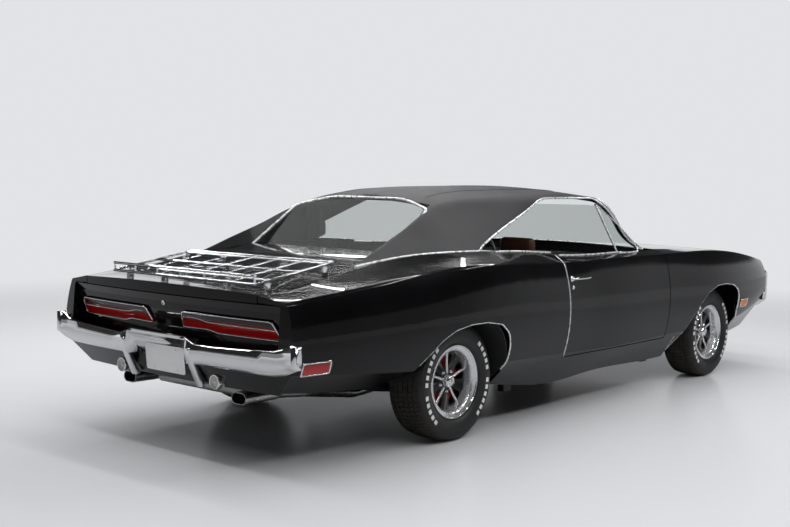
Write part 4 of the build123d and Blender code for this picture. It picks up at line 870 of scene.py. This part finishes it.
SEAT_Y, SEAT_WIDTH, SEAT_CHANNEL = 0.372, 0.474, 0.050
BENCH_CHANNEL = 0.055
FRONT_PADS = {"cushion": [(0.080, 0.290), (0.570, 0.300), (0.570, 0.430), (0.080, 0.385)],
              "back": [(-0.015, 0.340), (0.120, 0.340), (-0.025, 0.905), (-0.120, 0.890)]}
HEADREST = [(-0.110, 0.925), (-0.030, 0.940), (-0.045, 1.040), (-0.115, 1.030)]
REAR_CUSHION = [(-0.895, 0.392), (-0.505, 0.374), (-0.492, 0.420), (-0.555, 0.488), (-0.898, 0.442)]
REAR_BACK = [(-0.930, 0.442), (-0.842, 0.436), (-0.952, 0.868), (-0.980, 0.883), (-1.008, 0.878),
             (-0.965, 0.640)]
for side, place in SIDES:
    for part, corners in FRONT_PADS.items():
        pad(f"front_{part}_{place}", corners, SEAT_WIDTH, side * SEAT_Y, SEAT_CHANNEL)
    rest = pad(f"headrest_{place}", HEADREST, 0.260, side * SEAT_Y, cell=0.010, shrink=0.006)
    for k, y in enumerate((-0.06, 0.06)):
        post = [Vector((-0.075, side * SEAT_Y + y, z)) for z in (0.86, 0.97)]
        rounded_bead(f"headrest_post_{place}_{k}", post, 0.006, chrome, "body")
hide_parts("front_seats")
bench = pad("rear_cushion", REAR_CUSHION, 1.150, 0.0, BENCH_CHANNEL)
pad("rear_back", REAR_BACK, 1.110, 0.0, BENCH_CHANNEL)
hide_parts("rear_seat")


# ---------------------------------------------------------------- cabin trim
# A matt black dashboard, a carpeted shelf under the rear glass, a black rimmed steering wheel on its column
# and a mirror on a stalk from the roof's front edge. A plenum joins the dashboard to the cowl.
carpet = worn_finish("shelf_carpet", (0.035, 0.012, 0.010), (0.070, 0.024, 0.019), (0.9, 1.0), 0.0, 30.0,
                     0.0015, 900.0)
rim_black = worn_finish("steering_rim", (0.008, 0.008, 0.008), (0.014, 0.014, 0.014), (0.3, 0.42), 0.0, 20.0,
                        0.0003)
dash_vinyl = worn_finish("dash_vinyl", (0.004, 0.004, 0.004), (0.007, 0.0065, 0.006), (0.9, 0.97), 0.0, 20.0,
                         0.0003)
dash_vinyl.node_tree.nodes["Principled BSDF"].inputs["Specular IOR Level"].default_value = 0.12
finish_nodes("dashboard", dash_vinyl)
finish_nodes("parcel_shelf", carpet)
finish_nodes("steering_wheel steering_column", rim_black)


SCREEN_RADIUS, SCREEN_CENTRE = 2.985, -2.095      # the plenum follows the arc of the windscreen's foot
PLENUM_HALF, PLENUM_STEP = 0.70, 0.05
PLENUM_LOW, PLENUM_THICK, ABOVE_DASH = 0.862, 0.008, 0.878
arc = [(sqrt(SCREEN_RADIUS ** 2 - y * y) + SCREEN_CENTRE, y, ABOVE_DASH)
       for y in [-PLENUM_HALF + PLENUM_STEP * k for k in range(29)]]
lids = lie_on(surface_of("cowl_panel"), arc, UP, 0.001)
plenum = sheet_between([(p.x, p.y, PLENUM_LOW) for p in lids], lids)
pulled_out(plenum, (-PLENUM_THICK, 0, 0))
as_piece("cowl_plenum", plenum, rim_black, "body")

MIRROR, MIRROR_SIZE, MIRROR_ROUND = (0.355, 0, 1.190), (0.020, 0.215, 0.058), 0.009
bm = bmesh.new()
bmesh.ops.create_cube(bm, size=1.0, matrix=Matrix.Diagonal((*MIRROR_SIZE, 1)))
bmesh.ops.bevel(bm, geom=bm.edges[:], offset=MIRROR_ROUND, segments=4, profile=0.5, affect="EDGES",
                material=-1)
tilt = Matrix.Rotation(radians(12), 4, "Y")
bmesh.ops.transform(bm, matrix=Matrix.Translation(MIRROR) @ tilt, verts=bm.verts)
as_piece("mirror_shell", bm, rim_black, "body")
stalk = [Vector(p) for p in ((0.362, 0, 1.19), (0.345, 0, 1.24), (0.300, 0, 1.290))]
rounded_bead("mirror_stalk", stalk, 0.006, chrome, "body")

# ---------------------------------------------------------------- underside and engine
# Undersealed floor and wheelhouses, satin black chassis parts, bare and cast metal where it shows, and an
# engine in orange-red enamel. A splash panel closes each rear wheelhouse ahead of the tyre.
undercoat = worn_finish("undercoat", (0.008, 0.008, 0.008), (0.016, 0.016, 0.016), (0.75, 0.9), 0.0, 12.0,
                        0.002, 300.0)
chassis = worn_finish("chassis_black", (0.012, 0.012, 0.012), (0.024, 0.024, 0.024), (0.4, 0.6), 0.0, 15.0,
                      0.0004)
cast_iron = worn_finish("cast_iron", (0.20, 0.19, 0.18), (0.30, 0.29, 0.27), (0.5, 0.7), 0.7, 20.0, 0.0008)
engine_enamel = worn_finish("engine_enamel", (0.42, 0.060, 0.012), (0.55, 0.090, 0.020), (0.3, 0.45), 0.0,
                            12.0, 0.0006)
zinc = worn_finish("zinc_plate", (0.38, 0.38, 0.37), (0.52, 0.52, 0.51), (0.35, 0.5), 1.0, 14.0, 0.0002)
finish_nodes("floor_pan wheelhouses engine_aprons", undercoat)
finish_nodes("front_suspension rear_axle leaf_springs radiator", chassis)
finish_nodes("knuckle_left knuckle_right driveline", cast_iron)
finish_nodes("engine", engine_enamel)
finish_nodes("fuel_tank", zinc)

SPLASH_X, SPLASH_INNER, SPLASH_THICK = -0.905, 0.78, 0.003
SPLASH_LOW, SPLASH_STEP = 0.36, 0.02
quarter_skin = surface_of("quarter_panels")
for side, place in SIDES:
    inside = [(SPLASH_X, side * 0.80, SPLASH_LOW + SPLASH_STEP * k) for k in range(21)]
    outer = [p - Vector((0, side * 0.001, 0)) for p in lie_on(quarter_skin, inside, (0, side, 0))]
    splash = sheet_between([(p.x, side * SPLASH_INNER, p.z) for p in outer], outer)
    pulled_out(splash, (SPLASH_THICK, 0, 0))
    as_piece(f"splash_panel_{place}", splash, undercoat, "body")

# ---------------------------------------------------------------- front end
# A full-width grille of satin black bars inside the loop of the bumper, as cars of this kind have, with the
# lamps hidden behind it.
grille_black = worn_finish("grille_black", (0.010, 0.010, 0.010), (0.018, 0.018, 0.018), (0.35, 0.5), 0.0,
                           12.0, 0.0002)
finish_nodes("grille", grille_black)

# ---------------------------------------------------------------- door handles and locks
# Plated pull handles with a thumb button, each over a round key lock, on the doors' flat upper sides.
HANDLE_HEIGHT, LOCK_X, DOOR_LOCK_HEIGHT = 0.818, -0.292, 0.768
# the grip, as (x, distance out of the door)
GRIP = [(-0.300, 0.0), (-0.292, 0.012), (-0.270, 0.021), (-0.235, 0.026), (-0.190, 0.027), (-0.150, 0.026),
        (-0.118, 0.021), (-0.100, 0.011), (-0.094, 0.0)]
door_skin = surface_of("door_right")
base = lie_on(door_skin, [(x, -2, HANDLE_HEIGHT) for x, out in GRIP], LEFT)
line = [p + Vector((0, -out, 0)) for p, (x, out) in zip(base, GRIP)]
pair_of_beads("door_handle", even_line(line, 0.008, 2), 0.0075, chrome, DOORS)
for side, place in SIDES:
    for part, z, size in (("handle_button", HANDLE_HEIGHT, 1.25), ("door_lock", DOOR_LOCK_HEIGHT, 0.9)):
        spot = lie_on(door_skin, [(LOCK_X, -2, z)], LEFT)[0]
        spot.y *= -side
        profile = [(out * size, r * size) for out, r in BUTTON]
        turned(f"{part}_{place}", profile, chrome, "door_" + place, spot, (0, side, 0))
